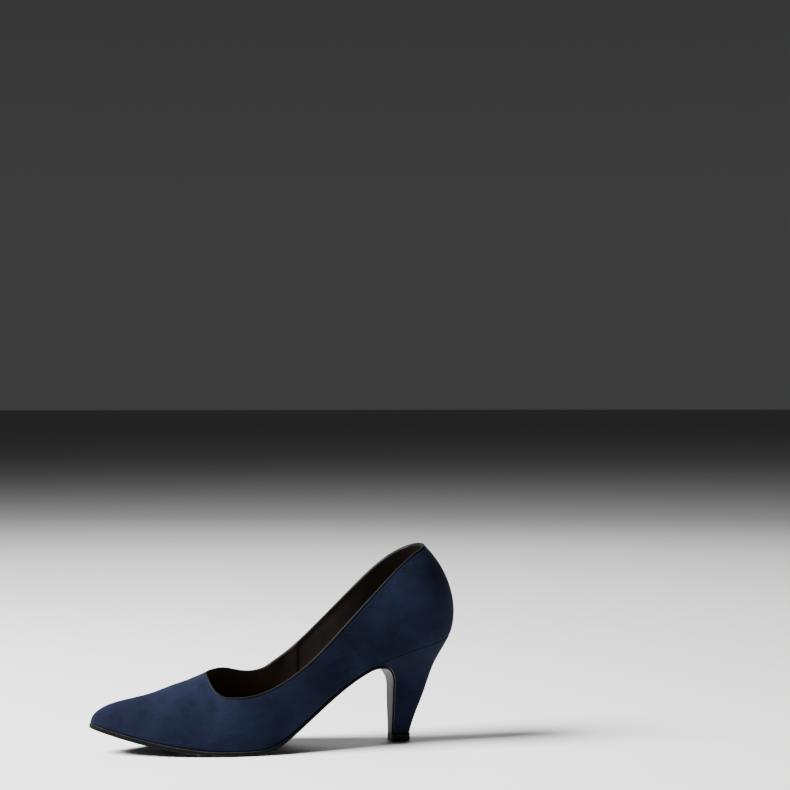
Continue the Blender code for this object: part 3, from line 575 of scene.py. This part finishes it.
def board_finish(name, dark, light, size):
    """Pressed fibre, foam or sheet: flecks at a given size."""
    made, tree, shader = new_material(name, 0.85)
    plain = coordinates(tree)
    fleck = ranged(tree, noise_value(tree, plain, size, 5.0, 0.7), 0.3, 0.7)
    tree.links.new(blend_colour(tree, fleck, dark, light), shader.inputs["Base Color"])
    bump(tree, shader, fleck, 0.08)
    return made


def steel_finish(name):
    made, tree, shader = new_material(name, 0.35, 1.0)
    drawn = noise_value(tree, coordinates(tree, (0.1, 1.0, 1.0)), 0.6, 3.0)
    colour = blend_colour(tree, drawn, (0.30, 0.31, 0.33), (0.42, 0.43, 0.45))
    tree.links.new(colour, shader.inputs["Base Color"])
    tree.links.new(ranged(tree, drawn, 0.3, 0.7, 0.28, 0.45), shader.inputs["Roughness"])
    return made


NAVY_DARK, NAVY_LIGHT = (0.0014, 0.0024, 0.0070), (0.0074, 0.0110, 0.0275)
SUEDE = suede("navy_suede", NAVY_DARK, NAVY_LIGHT)
BINDING_LEATHER = leather(
    "black_binding", (0.0012, 0.0012, 0.0014), (0.003, 0.003, 0.0033), 0.55, 0.5, 0.03, 0.12
)
LINING_LEATHER = leather(
    "black_lining", (0.006, 0.005, 0.0045), (0.012, 0.0095, 0.008), 0.7, 0.7, 0.04, 0.12
)
SOCK_LEATHER = leather("tan_sock", (0.22, 0.14, 0.08), (0.32, 0.21, 0.125), 0.5, 0.8, 0.05, 0.35)
SOLE = sole_finish("dressed_sole")
RUBBER = rubber("black_rubber")
THREAD = thread("navy_thread")


# ---------------------------------------------------------------- upper, lining, binding, thread
SIDES = (LATERAL, MEDIAL)


def shoe_stations(count):
    """Stations from toe to back, denser at the throat and beside the back seam."""
    even = np.linspace(0.0, 1.0, count)
    throat = topline_stations(LATERAL, 0.6)
    throat = throat[throat < THROAT_S + 0.02]
    seam = 1 - 0.012 * np.linspace(0, 1, 14) ** 1.5
    every = np.sort(np.concatenate([even, throat, seam]))
    gap = np.where((every > THROAT_S) & (every < THROAT_S + 0.004), 1.5e-5, 2.5e-4)
    every = every[np.concatenate([[True], np.diff(every) > gap[1:]])]
    every[-1] = 1.0
    return every


def sheet_of_upper(name, stations, rows, depth, look, nodes, low_rows, thickness):
    """A sheet under the upper's outside, both sides, with its foot turned in under the insole."""
    points, faces, offset = [], [], 0
    for side in SIDES:
        s = stations[:, None]
        top = topline_t(stations, side)[:, None]
        t = top * rows[None, :]
        deep = depth(s, t, top)
        wall = rib(s, side, t) - rib_normal(s, side, t) * deep[..., None]
        feet = []
        for share in low_rows:
            foot = inset(stations, side, share + deep[:, 0])
            foot[:, 2] = feather_z(foot[:, 0]) + deep[:, 0]
            feet.append(foot)
        sheet = np.concatenate([np.stack(feet, 1), wall], 1)
        points.append(sheet.reshape(-1, 3))
        faces.append(grid_faces(*sheet.shape[:2], flip=side == MEDIAL) + offset)
        offset += sheet.shape[0] * sheet.shape[1]
    piece = make_piece(name, np.concatenate(points), np.concatenate(faces), look, nodes, weld=0.002)
    thicken(piece, thickness)
    return piece


def make_upper():
    stations = shoe_stations(330)
    q = np.linspace(0.0, 1.0, 60)
    rows = 1 - (1 - q**1.3) ** 1.15
    tuck = lambda s, t, top: FEATHER_TUCK * (1 - ease(t / np.maximum(top, 1e-6), 0.0, 0.03)) * np.ones_like(s)
    return sheet_of_upper(
        "upper", stations, rows, tuck, SUEDE, ["upper"], (5.0, 2.0, 0.6), UPPER_THICKNESS
    )


def lining_depth(s, t, top):
    near_top = ease(t / np.maximum(top, 1e-6), 0.72, 0.96) * ease(s, THROAT_S - 0.06, THROAT_S)
    return LINING_DEPTH + (LINING_DEPTH_TOP - LINING_DEPTH) * near_top + 0 * t


def make_linings():
    stations = shoe_stations(200)
    rows = np.linspace(0.02, 1.0, 34) ** 1.05
    join = float(station(LINING_JOIN_X))
    lap = LINING_LAP
    front = np.append(stations[stations < join + lap - 0.002], join + lap)
    rear = np.insert(stations[stations > join + 0.002], 0, join)

    def lapped(s, t, top):
        """The front lining lies over the rear one where they are sewn together."""
        over = (LINING_THICKNESS + 0.05) * ease(s, join - 1.5 * lap, join - 0.2 * lap)
        return lining_depth(s, t, top) + over

    for name, part, depth in (("vamp_lining", front, lapped), ("quarter_lining", rear, lining_depth)):
        sheet_of_upper(
            name, part, rows, depth, LINING_LEATHER, [name], (5.0, 2.0), LINING_THICKNESS
        )


def binding_section():
    """The folded strip's outline, as (depth under the outside, distance below the edge)."""
    skin, gap = BINDING_THICKNESS, 0.06
    outside, inside = -gap, LINING_DEPTH_TOP + LINING_THICKNESS + gap
    middle, half = (outside + inside) / 2, (inside - outside) / 2
    turns = np.linspace(0, np.pi, 9)
    inner = [(outside, BINDING_DEPTH)]
    inner += [(middle - half * math.cos(a), 0.25 - 0.35 * math.sin(a)) for a in turns]
    inner.append((inside, BINDING_DEPTH))
    outer = [(inside + skin * 0.6, BINDING_DEPTH)]
    outer += [(middle + (half + skin) * math.cos(a), 0.25 - (0.35 + skin) * math.sin(a)) for a in turns]
    outer.append((outside - skin * 0.6, BINDING_DEPTH))
    return inner + outer


def make_binding():
    points, _, normals, below = topline_ring(BINDING_SPACING)
    section = np.array(binding_section())
    ring = points[:, None] + below[:, None] * section[None, :, 1:] - normals[:, None] * section[None, :, :1]
    faces = grid_faces(*ring.shape[:2], wrap_rows=True, wrap_columns=True)
    return make_piece(
        "topline_binding", ring.reshape(-1, 3), faces, BINDING_LEATHER,
        ["topline_binding"], smooth_angle=60,
    )


def make_stitching(upper):
    """Single stitches of thread lying on the suede below the binding."""
    points, _, _, below = topline_ring(THREAD_SPACING)
    run = np.concatenate([[0.0], np.cumsum(np.linalg.norm(np.diff(points, axis=0), axis=1))])
    tree = BVHTree.FromPolygons(
        [v.co[:] for v in upper.data.vertices], [p.vertices[:] for p in upper.data.polygons]
    )
    count = int(run[-1] / STITCH_PITCH)
    turns = np.linspace(0, 2 * np.pi, 7)[:-1]
    verts, faces = [], []
    for number in range(count):
        start = number * STITCH_PITCH
        centres, outs = [], []
        for share in np.linspace(0.0, 1.0, 7):
            at = start + share * STITCH_LENGTH
            k = int(np.searchsorted(run, at)) % len(points)
            spot = place(points[k] + below[k] * STITCH_DEPTH)
            hit, out, _, _ = tree.find_nearest(Vector(spot))
            rise = THREAD_RADIUS * (0.55 - 1.5 * (2 * share - 1) ** 6)
            centres.append(np.array(hit) * 1000 + ORIGIN + np.array(out) * rise)
            outs.append(np.array(out))
        centres, outs = np.array(centres), np.array(outs)
        along = unit(np.gradient(centres, axis=0))
        across = unit(np.cross(along, outs))
        swell = 1 - 0.35 * np.linspace(-1, 1, 7) ** 4
        tube = centres[:, None] + THREAD_RADIUS * swell[:, None, None] * (
            across[:, None] * np.cos(turns)[None, :, None] + outs[:, None] * np.sin(turns)[None, :, None]
        )
        first = len(verts)
        verts.extend(tube.reshape(-1, 3).tolist())
        faces.extend((grid_faces(7, 6, wrap_columns=True) + first).tolist())
        faces.append([first + k for k in range(6)])
        faces.append([first + 36 + k for k in range(6)][::-1])
    return make_piece("topline_stitching", np.array(verts), faces, THREAD, [])


# ---------------------------------------------------------------- sock
def pad_rise(x):
    fore = ease(x, -178, -160) - ease(x, -103, -85)
    return PAD_LIFT * (fore + ease(x, -20, -5))


def make_sock():
    """The padded sock: a leather sheet crowned over its two foam pads, thin at its edges."""
    stations = np.linspace(0.0, 1.0, 170)
    across = (1 - np.cos(np.linspace(0, np.pi, 34))) / 2
    edge_in = 3.1 + 4.4 * (1 - ease(stations, 0.0, 0.30))
    left, right = inset(stations, LATERAL, edge_in), inset(stations, MEDIAL, edge_in)
    share = across[None, :, None]
    plan = left[:, None] * (1 - share) + right[:, None] * share
    base = feather_z(plan[..., 0]) + BOARD_TOP
    from_edge = np.minimum(across, 1 - across)[None, :] * np.linalg.norm(right - left, axis=-1)[:, None]
    crown = ease(from_edge, 0.0, 9.0)
    lift = pad_rise(plan[..., 0]) * crown * 1.05
    turned_up = 1.1 * (1 - ease(from_edge, 0.0, 3.0))
    top = plan.copy()
    top[..., 2] = base + 0.2 + 0.35 + 0.75 * ease(from_edge, 0.0, 1.2) + lift + turned_up * 0.5
    low = plan.copy()
    low[..., 2] = base + 0.15 + lift * 0.9
    rows, columns = top.shape[:2]
    upper_faces = grid_faces(rows, columns)
    lower_faces = grid_faces(rows, columns, flip=True) + rows * columns
    rim = []
    border = [(i, 0) for i in range(rows)] + [(rows - 1, j) for j in range(1, columns)]
    border += [(i, columns - 1) for i in range(rows - 2, -1, -1)]
    border += [(0, j) for j in range(columns - 2, 0, -1)]
    for (i, j), (k, l) in zip(border, border[1:] + border[:1]):
        a, b = i * columns + j, k * columns + l
        rim.append([b, a, a + rows * columns, b + rows * columns])
    points = np.concatenate([top.reshape(-1, 3), low.reshape(-1, 3)])
    faces = upper_faces.tolist() + lower_faces.tolist() + rim
    sock = make_piece(
        "sock_lining", points, faces, SOCK_LEATHER,
        ["sock_lining", "forefoot_pad", "heel_pad"], weld=0.02,
    )
    turn_outward(sock)
    return sock


def turn_outward(thing):
    work = bmesh.new()
    work.from_mesh(thing.data)
    bmesh.ops.recalc_face_normals(work, faces=work.faces)
    work.to_mesh(thing.data)
    work.free()


# ---------------------------------------------------------------- heel
heel_back_x = spline(
    (0.0, 0.098, 0.254, 0.425, 0.567, 0.72, 0.861, 1.0), (7.5, 9.1, 12.4, 16.6, 19.7, 23.4, 28.0, HEEL_X)
)
heel_half = spline(
    (0.0, 0.1, 0.3, 0.5, 0.66, 0.75, 0.85, 0.93, 1.0),
    (TIP_HALF_WIDTH, 5.2, 6.9, 8.3, 10.2, 13.2, 18.2, 22.6, 26.0),
)
HEEL_TOP_GAP = 0.25


def sole_thickness(x):
    return SOLE_THICKNESS - 0.75 * ease(x, -60, FLAP_START_X)


def sole_bottom_z(x):
    return feather_z(x) - sole_thickness(x)


def breast_path(u):
    """The outsole's lower line in side view: under the shank, round, and down the breast."""
    x, z = FLAP_START_X, float(sole_bottom_z(FLAP_START_X))
    slope = float(sole_bottom_z(x) - sole_bottom_z(x - 1.0))
    start, first = np.array([x, z]), np.array([x + 12.5, z + 10.0 * slope])
    end, second = np.array([BREAST_X, BREAST_TOP_Z]), np.array([BREAST_X, BREAST_TOP_Z + 7.5])
    return bezier(start, first, second, end, np.asarray(u, float)[..., None])


def breast_normal(u):
    """Unit vector in side view from the visible side of the flap to its hidden side."""
    along = unit(breast_path(np.minimum(u + 1e-3, 1.0)) - breast_path(np.maximum(u - 1e-3, 0.0)))
    return np.stack([-along[..., 1], along[..., 0]], -1)


def flap_thickness(u):
    start = float(sole_thickness(FLAP_START_X)) - SOLE_GAP
    return start + (FLAP_THICKNESS - start) * ease(u, 0.0, 0.7)


def breast_table():
    u = np.linspace(0.0, 1.0, 200)
    hidden = breast_path(u) + breast_normal(u) * flap_thickness(u)[:, None]
    hidden = hidden[np.argmax(hidden[:, 1]):]
    hidden = np.concatenate([hidden, [[BREAST_X + FLAP_THICKNESS, 0.0]]])[::-1]
    return hidden[:, 1], hidden[:, 0]


BREAST_Z, BREAST_BACK_X = breast_table()


def heel_front_x(z):
    back = np.interp(z, BREAST_Z, BREAST_BACK_X)
    return np.minimum(back, BREAST_X + FLAP_THICKNESS) + PIECE_GAP


def heel_z(x, v):
    return TIP_Z + v * (feather_z(x) - HEEL_TOP_GAP - TIP_Z)


def heel_front_at(v):
    """Where the heel's front edge meets the hidden side of the flap, at a share of its height."""
    low = np.full_like(v, HEEL_LIP_X)
    high = np.full_like(v, BREAST_X + FLAP_THICKNESS + PIECE_GAP)
    for _ in range(30):
        middle = (low + high) / 2
        past = heel_front_x(heel_z(middle, v)) < middle
        low, high = np.where(past, low, middle), np.where(past, middle, high)
    return (low + high) / 2


def heel_surface(side, k, v):
    """The covered heel's outside: k from the breast's corner to the back, v from tip to seat."""
    k, v = np.broadcast_arrays(np.asarray(k, float), np.asarray(v, float))
    lip_s = float(station(HEEL_LIP_X))
    seat = feather(lip_s + (1 - lip_s) * k, side)
    seat_share = (seat[..., 0] - HEEL_LIP_X) / (HEEL_X - HEEL_LIP_X)
    tip_share = 1 - np.cos(k * np.pi / 2)
    tip_width = np.sqrt(np.clip(1 - tip_share**2, 0.0, None))
    mix = ease(v, 0.0, 1.0)
    share = tip_share + (seat_share - tip_share) * mix
    width = tip_width + (np.abs(seat[..., 1]) / 26.0 - tip_width) * mix
    front = heel_front_at(v)
    x = front + share * (heel_back_x(v) - front)
    return stack(x, side * width * heel_half(v), heel_z(x, v))


def heel_normal(side, k, v):
    k, v = np.broadcast_arrays(np.asarray(k, float), np.asarray(v, float))
    k0, k1 = np.maximum(k - 1e-3, 0.0), np.minimum(k + 1e-3, 1.0)
    v0, v1 = np.maximum(v - 1e-3, 0.0), np.minimum(v + 1e-3, 1.0)
    along = heel_surface(side, k1, v) - heel_surface(side, k0, v)
    upward = heel_surface(side, k, v1) - heel_surface(side, k, v0)
    normal = np.cross(along, upward) * -side
    normal[..., 2] = 0.0
    normal[k > 1 - 1e-6, 1] = 0.0
    return unit(normal)


# how the suede turns in behind the flap: (on along the shoe, in from the corner)
BREAST_TURN = np.array([(0.25, 6.0), (0.2, 3.0), (0.15, 1.0), (-0.05, 0.35)])


def seat_lip(side):
    """The suede that fills the wedge between the upper and the flap, ahead of the heel's seat."""
    u = np.linspace(0.0, 0.6, 80)
    hidden = breast_path(u) + breast_normal(u) * flap_thickness(u)[:, None]
    x = np.linspace(FLAP_START_X + 0.8, HEEL_LIP_X + 2.5, 24)
    below = np.interp(x, hidden[:, 0], hidden[:, 1]) + 0.05
    flap_y = [flap_section(breast_path(k), breast_normal(k), float(flap_thickness(k)))[1][side] for k in u]
    below_y = np.interp(x, hidden[:, 0], flap_y) - side * 0.1
    above = feather(station(x), side)
    above_y = above[:, 1] - side * 0.3
    above_z = np.maximum(above[:, 2] + 0.1, below + 0.01)
    share = np.linspace(0.0, 1.0, 6)[None, :]
    swell = side * 0.15 * np.sin(np.pi * share)
    y = below_y[:, None] * (1 - share) + above_y[:, None] * share + swell
    z = below[:, None] * (1 - share) + above_z[:, None] * share
    return stack(x[:, None], y, z)


def make_heel_cover():
    """Suede drawn over the heel, rounded in a little at the seat and at the tip."""
    k = np.linspace(0.0, 1.0, 46)[:, None]
    q = np.linspace(0.0, 1.0, 110)
    v = (0.5 - 0.5 * np.cos(np.pi * q))[None, :]
    points, faces, offset = [], [], 0
    for side in SIDES:
        surface = heel_surface(side, k, v)
        tuck = 0.35 * (1 - ease(v, 0.0, 0.012)) + 0.22 * ease(v, 0.99, 1.0)
        surface = surface - heel_normal(side, k, v) * (tuck + 0 * k)[..., None]
        surface[:, :, 2] = heel_z(surface[:, :, 0], v) + 0.13 * ease(v, 0.9, 1.0)
        turned = surface[:1] + stack(BREAST_TURN[:, :1], -side * BREAST_TURN[:, 1:], 0.0)
        surface = np.concatenate([turned, surface])
        for sheet in (surface, seat_lip(side)):
            points.append(sheet.reshape(-1, 3))
            faces.append(grid_faces(*sheet.shape[:2], flip=side == MEDIAL) + offset)
            offset += sheet.shape[0] * sheet.shape[1]
    cover = make_piece(
        "heel_cover", np.concatenate(points), np.concatenate(faces), SUEDE,
        ["heel_cover"], weld=0.02,
    )
    thicken(cover, HEEL_COVER_THICKNESS - 0.1)
    return cover


def make_top_piece():
    """The rubber lift with its edges just broken."""
    k = np.linspace(0.0, 1.0, 28)
    outline = []
    for side in SIDES:
        arc = heel_surface(side, k, np.zeros_like(k)) + heel_normal(side, k, np.zeros_like(k)) * 0.25
        arc[0, 0] = BREAST_X
        arc[-1, 1] = 0.0
        outline.append(arc[:-1] if side == LATERAL else arc[::-1])
    outline = np.concatenate(outline)[:, :2]
    centre = np.array([(BREAST_X + outline[:, 0].max()) / 2, 0.0])
    outward = unit(outline - centre)
    levels = ((0.0, 1.6), (0.0, 0.5), (0.12, 0.2), (0.45, 0.0), (TOP_PIECE_HEIGHT - 0.25, 0.0))
    levels += ((TOP_PIECE_HEIGHT, 0.25), (TOP_PIECE_HEIGHT, 1.5))
    rings = []
    for z, back in levels:
        ring = outline - outward * back
        rings.append(np.column_stack([ring, np.full(len(ring), z)]))
    size = len(outline)
    faces = grid_faces(len(levels), size, wrap_columns=True).tolist()
    faces.append(list(range(size)))
    faces.append([(len(levels) - 1) * size + i for i in range(size)][::-1])
    piece = make_piece(
        "top_piece", np.concatenate(rings), faces, RUBBER, ["top_piece"], smooth_angle=50
    )
    turn_outward(piece)
    return piece


# ---------------------------------------------------------------- outsole
def heel_edge_half(side, x, z):
    """Half width of the heel at its breast, at a height."""
    top = float(feather_z(max(x, HEEL_LIP_X))) - HEEL_TOP_GAP
    v = np.clip((z - TIP_Z) / (top - TIP_Z), 0.0, 1.0)
    return np.abs(heel_surface(side, np.zeros_like(v), v)[..., 1])


EDGE_ROUND = 0.55
CORNER_STEPS = 5
FACE_STEPS = 26


def sole_sections():
    """Every section of the sole and its flap, toe to heel tip: a kind, the edges, then the height."""
    last = float(station(FLAP_START_X))
    stations = np.concatenate([np.linspace(0.0, 0.06, 26)[:-1], np.linspace(0.06, last, 190)])
    sections = []
    for s in stations:
        x = float(x_at(s))
        proud = SOLE_PROUD * (1 - ease(x, -95, -60)) - 0.2 * ease(x, -95, -60)
        edges = {}
        for side in SIDES:
            edges[side] = lambda back, side=side, s=s, proud=proud: inset(s, side, back - proud)
        sections.append(("sole", edges, float(sole_thickness(x))))
    for u in np.linspace(0.0, 1.0, 46)[1:]:
        sections.append(flap_section(breast_path(u), breast_normal(u), float(flap_thickness(u))))
    for z in np.linspace(BREAST_TOP_Z, TOP_PIECE_HEIGHT + 0.35, 40)[1:]:
        sections.append(flap_section(np.array([BREAST_X, z]), np.array([1.0, 0.0]), FLAP_THICKNESS))
    return sections


def flap_section(visible, way, thickness):
    hidden = visible + way * thickness
    share = ease(visible[0], FLAP_START_X, -9.0)
    half = {}
    for side in SIDES:
        sole_y = float(inset(float(station(FLAP_START_X)), side, 0.2)[1])
        heel_y = side * float(heel_edge_half(side, hidden[0], hidden[1]))
        half[side] = sole_y * (1 - share) + heel_y * share
    return ("flap", half, visible, hidden)


def make_outsole():
    """The sole and its breast flap as one lofted ring of sections."""
    rows, edge, edge_highlight = [], [], []
    corner = np.linspace(0.0, np.pi / 2, CORNER_STEPS)
    # (distance in from the edge, height above the lower face, painted highlight line)
    low = [(EDGE_ROUND * (1 - math.sin(a)), EDGE_ROUND * (1 - math.cos(a))) for a in corner]
    for section in sole_sections():
        thick = section[2] if section[0] == "sole" else float(np.linalg.norm(section[3] - section[2]))
        top = thick - (SOLE_GAP if section[0] == "sole" else 0.0)
        scale = min(1.0, thick / 2.2)
        side_profile = [(back * scale, height * scale, 0.0) for back, height in low]
        side_profile += [(-0.06, 0.55 * top, 0.0), (0.0, top - 0.42 * scale, 0.0), (0.12, top - 0.10, 1.0)]
        # the points marked 1.0 are the edge's upward face, which gets the painted highlight
        side_profile += [(0.5, top, 1.0)]
        ring, inked, highlight_line = [], [], []

        def at(side, back, height):
            if section[0] == "sole":
                point = section[1][side](np.float64(back))
                point[2] = feather_z(point[0]) - section[2] + height
                return point
            level = section[2] + (section[3] - section[2]) * height / thick
            return np.array([level[0], section[1][side] - side * back, level[1]])

        for back, height, mark in side_profile:
            ring.append(at(LATERAL, back, height))
            inked.append(1.0 if back < EDGE_ROUND * 0.9 * scale or mark else 0.6)
            highlight_line.append(mark)
        for back, height, mark in side_profile[::-1]:
            ring.append(at(MEDIAL, back, height))
            inked.append(1.0 if back < EDGE_ROUND * 0.9 * scale or mark else 0.6)
            highlight_line.append(mark)
        first, final = ring[-1], ring[0]
        for share in np.linspace(0.0, 1.0, FACE_STEPS)[1:-1]:
            point = first * (1 - share) + final * share
            if section[0] == "sole":
                point[2] = feather_z(point[0]) - section[2]
            ring.append(point)
            rim = min(share, 1 - share) * np.linalg.norm(final - first)
            inked.append(float(1 - ease(rim, 0.2, 0.9)))
            highlight_line.append(0.0)
        rows.append(ring)
        edge.append(inked)
        fade = 1.0 if section[0] == "sole" else 0.0
        edge_highlight.append([w * fade for w in highlight_line])
    rows = np.array(rows)
    count, size = rows.shape[:2]
    faces = grid_faces(count, size, wrap_columns=True).tolist()
    faces.append(list(range(size)))
    faces.append([(count - 1) * size + i for i in range(size)][::-1])
    points = rows.reshape(-1, 3)
    sole = make_piece("outsole", points, faces, SOLE, ["outsole"], smooth_angle=70)
    x = points[:, 0]
    on_floor = ease(x, -150, -125) * (1 - ease(x, -100, -80)) * (points[:, 2] < feather_z(x) - 2.4)
    paint(sole, "edge", np.concatenate(edge))
    # painted highlight along the top face of the sole's edge, fading out towards the ball
    paint(sole, "edge_highlight", np.concatenate(edge_highlight) * (1 - ease(x, -100, -85)))
    paint(sole, "tread", on_floor)
    turn_outward(sole)
    return sole


# ---------------------------------------------------------------- stage
FLOOR_REACH = 80.0               # metres
SKY_LOW, SKY_HIGH = 0.10, 0.45   # the sky fades between these heights of its direction
SKY_BRIGHT, SKY_DIM = 1.05, 0.40


def make_stage():
    mesh = bpy.data.meshes.new("floor")
    corners = [(x * FLOOR_REACH, y * FLOOR_REACH, 0) for x, y in ((-1, -1), (1, -1), (1, 1), (-1, 1))]
    mesh.from_pydata(corners, [], [(0, 1, 2, 3)])
    floor = bpy.data.objects.new("floor", mesh)
    bpy.context.scene.collection.objects.link(floor)
    made, tree, shader = new_material("floor", 0.6, Specular_IOR_Level=0.2)
    paper = noise_value(tree, coordinates(tree), 40.0, 2.0)
    colour = blend_colour(tree, paper, (0.88, 0.88, 0.875), (0.90, 0.90, 0.895))
    tree.links.new(colour, shader.inputs["Base Color"])
    mesh.materials.append(made)

    world = bpy.data.worlds.new("studio")
    world.use_nodes = True
    tree = world.node_tree
    way = tree.nodes.new("ShaderNodeTexCoord")
    parts = tree.nodes.new("ShaderNodeSeparateXYZ")
    tree.links.new(way.outputs["Generated"], parts.inputs["Vector"])
    level = ranged(tree, parts.outputs["Z"], SKY_LOW, SKY_HIGH, SKY_BRIGHT, SKY_DIM)
    tree.links.new(level, tree.nodes["Background"].inputs["Strength"])
    bpy.context.scene.world = world


# name, place and aim in metres, size in metres, power in watts
LIGHTS = (
    ("key", (-1.30, -0.05, 1.35), (-0.02, 0.0, 0.05), 0.9, 175.0),
    ("back", (0.6, 1.5, 1.4), (0.0, 0.0, 0.05), 1.2, 14.0),
)


def add_light(name, spot, aim, size, power):
    lamp = bpy.data.lights.new(name, "AREA")
    lamp.shape = "SQUARE"
    lamp.size = size
    lamp.energy = power
    thing = bpy.data.objects.new(name, lamp)
    thing.location = spot
    thing.rotation_euler = (Vector(aim) - Vector(spot)).to_track_quat("-Z", "Y").to_euler()
    bpy.context.scene.collection.objects.link(thing)


CAMERA_AZIMUTH = -17.0     # degrees, like the other angles here
CAMERA_ELEVATION = 8.7
CAMERA_DISTANCE = 1.4067   # from the middle of the heel tip, metres
CAMERA_TILT = 90.247
CAMERA_PAN = -16.922
CAMERA_LENS = 100.0        # mm, on a sensor 36 mm wide


def make_camera():
    lens = bpy.data.cameras.new("camera")
    lens.lens = CAMERA_LENS
    lens.sensor_width = 36.0
    camera = bpy.data.objects.new("camera", lens)
    turn, rise = math.radians(CAMERA_AZIMUTH), math.radians(CAMERA_ELEVATION)
    level = math.cos(rise)
    away = Vector((math.sin(turn) * level, -math.cos(turn) * level, math.sin(rise)))
    camera.location = Vector(place((0.0, 0.0, 0.0))) + away * CAMERA_DISTANCE
    camera.rotation_euler = (math.radians(CAMERA_TILT), 0.0, math.radians(CAMERA_PAN))
    bpy.context.scene.collection.objects.link(camera)
    bpy.context.scene.camera = camera


# ---------------------------------------------------------------- the pieces that stay as CAD made them
def finish_hidden_pieces():
    looks = {
        "insole_board": board_finish("fibreboard", (0.20, 0.12, 0.06), (0.36, 0.23, 0.12), 0.8),
        "stiffening_sheet": board_finish("stiffener_sheet", (0.45, 0.41, 0.34), (0.60, 0.56, 0.48), 0.6),
        "tape_fabric": board_finish("woven_tape", (0.55, 0.52, 0.46), (0.70, 0.67, 0.60), 0.3),
        "foam_padding": board_finish("latex_foam", (0.62, 0.53, 0.34), (0.80, 0.71, 0.50), 1.2),
        "heel_plastic": board_finish("heel_plastic", (0.56, 0.53, 0.46), (0.64, 0.61, 0.54), 6.0),
        "steel_parts": steel_finish("bare_steel"),
    }
    for part in frame["record"]["subparts"]:
        look = looks.get(part["material_slot"])
        if look:
            thing = frame["nodes"][part["node"]]
            thing.data.materials.clear()
            thing.data.materials.append(look)


make_camera()
make_stage()
for name, spot, aim, size, power in LIGHTS:
    add_light(name, spot, aim, size, power)
upper_piece = make_upper()
make_linings()
make_binding()
make_stitching(upper_piece)
make_sock()
make_heel_cover()
make_top_piece()
make_outsole()
finish_hidden_pieces()
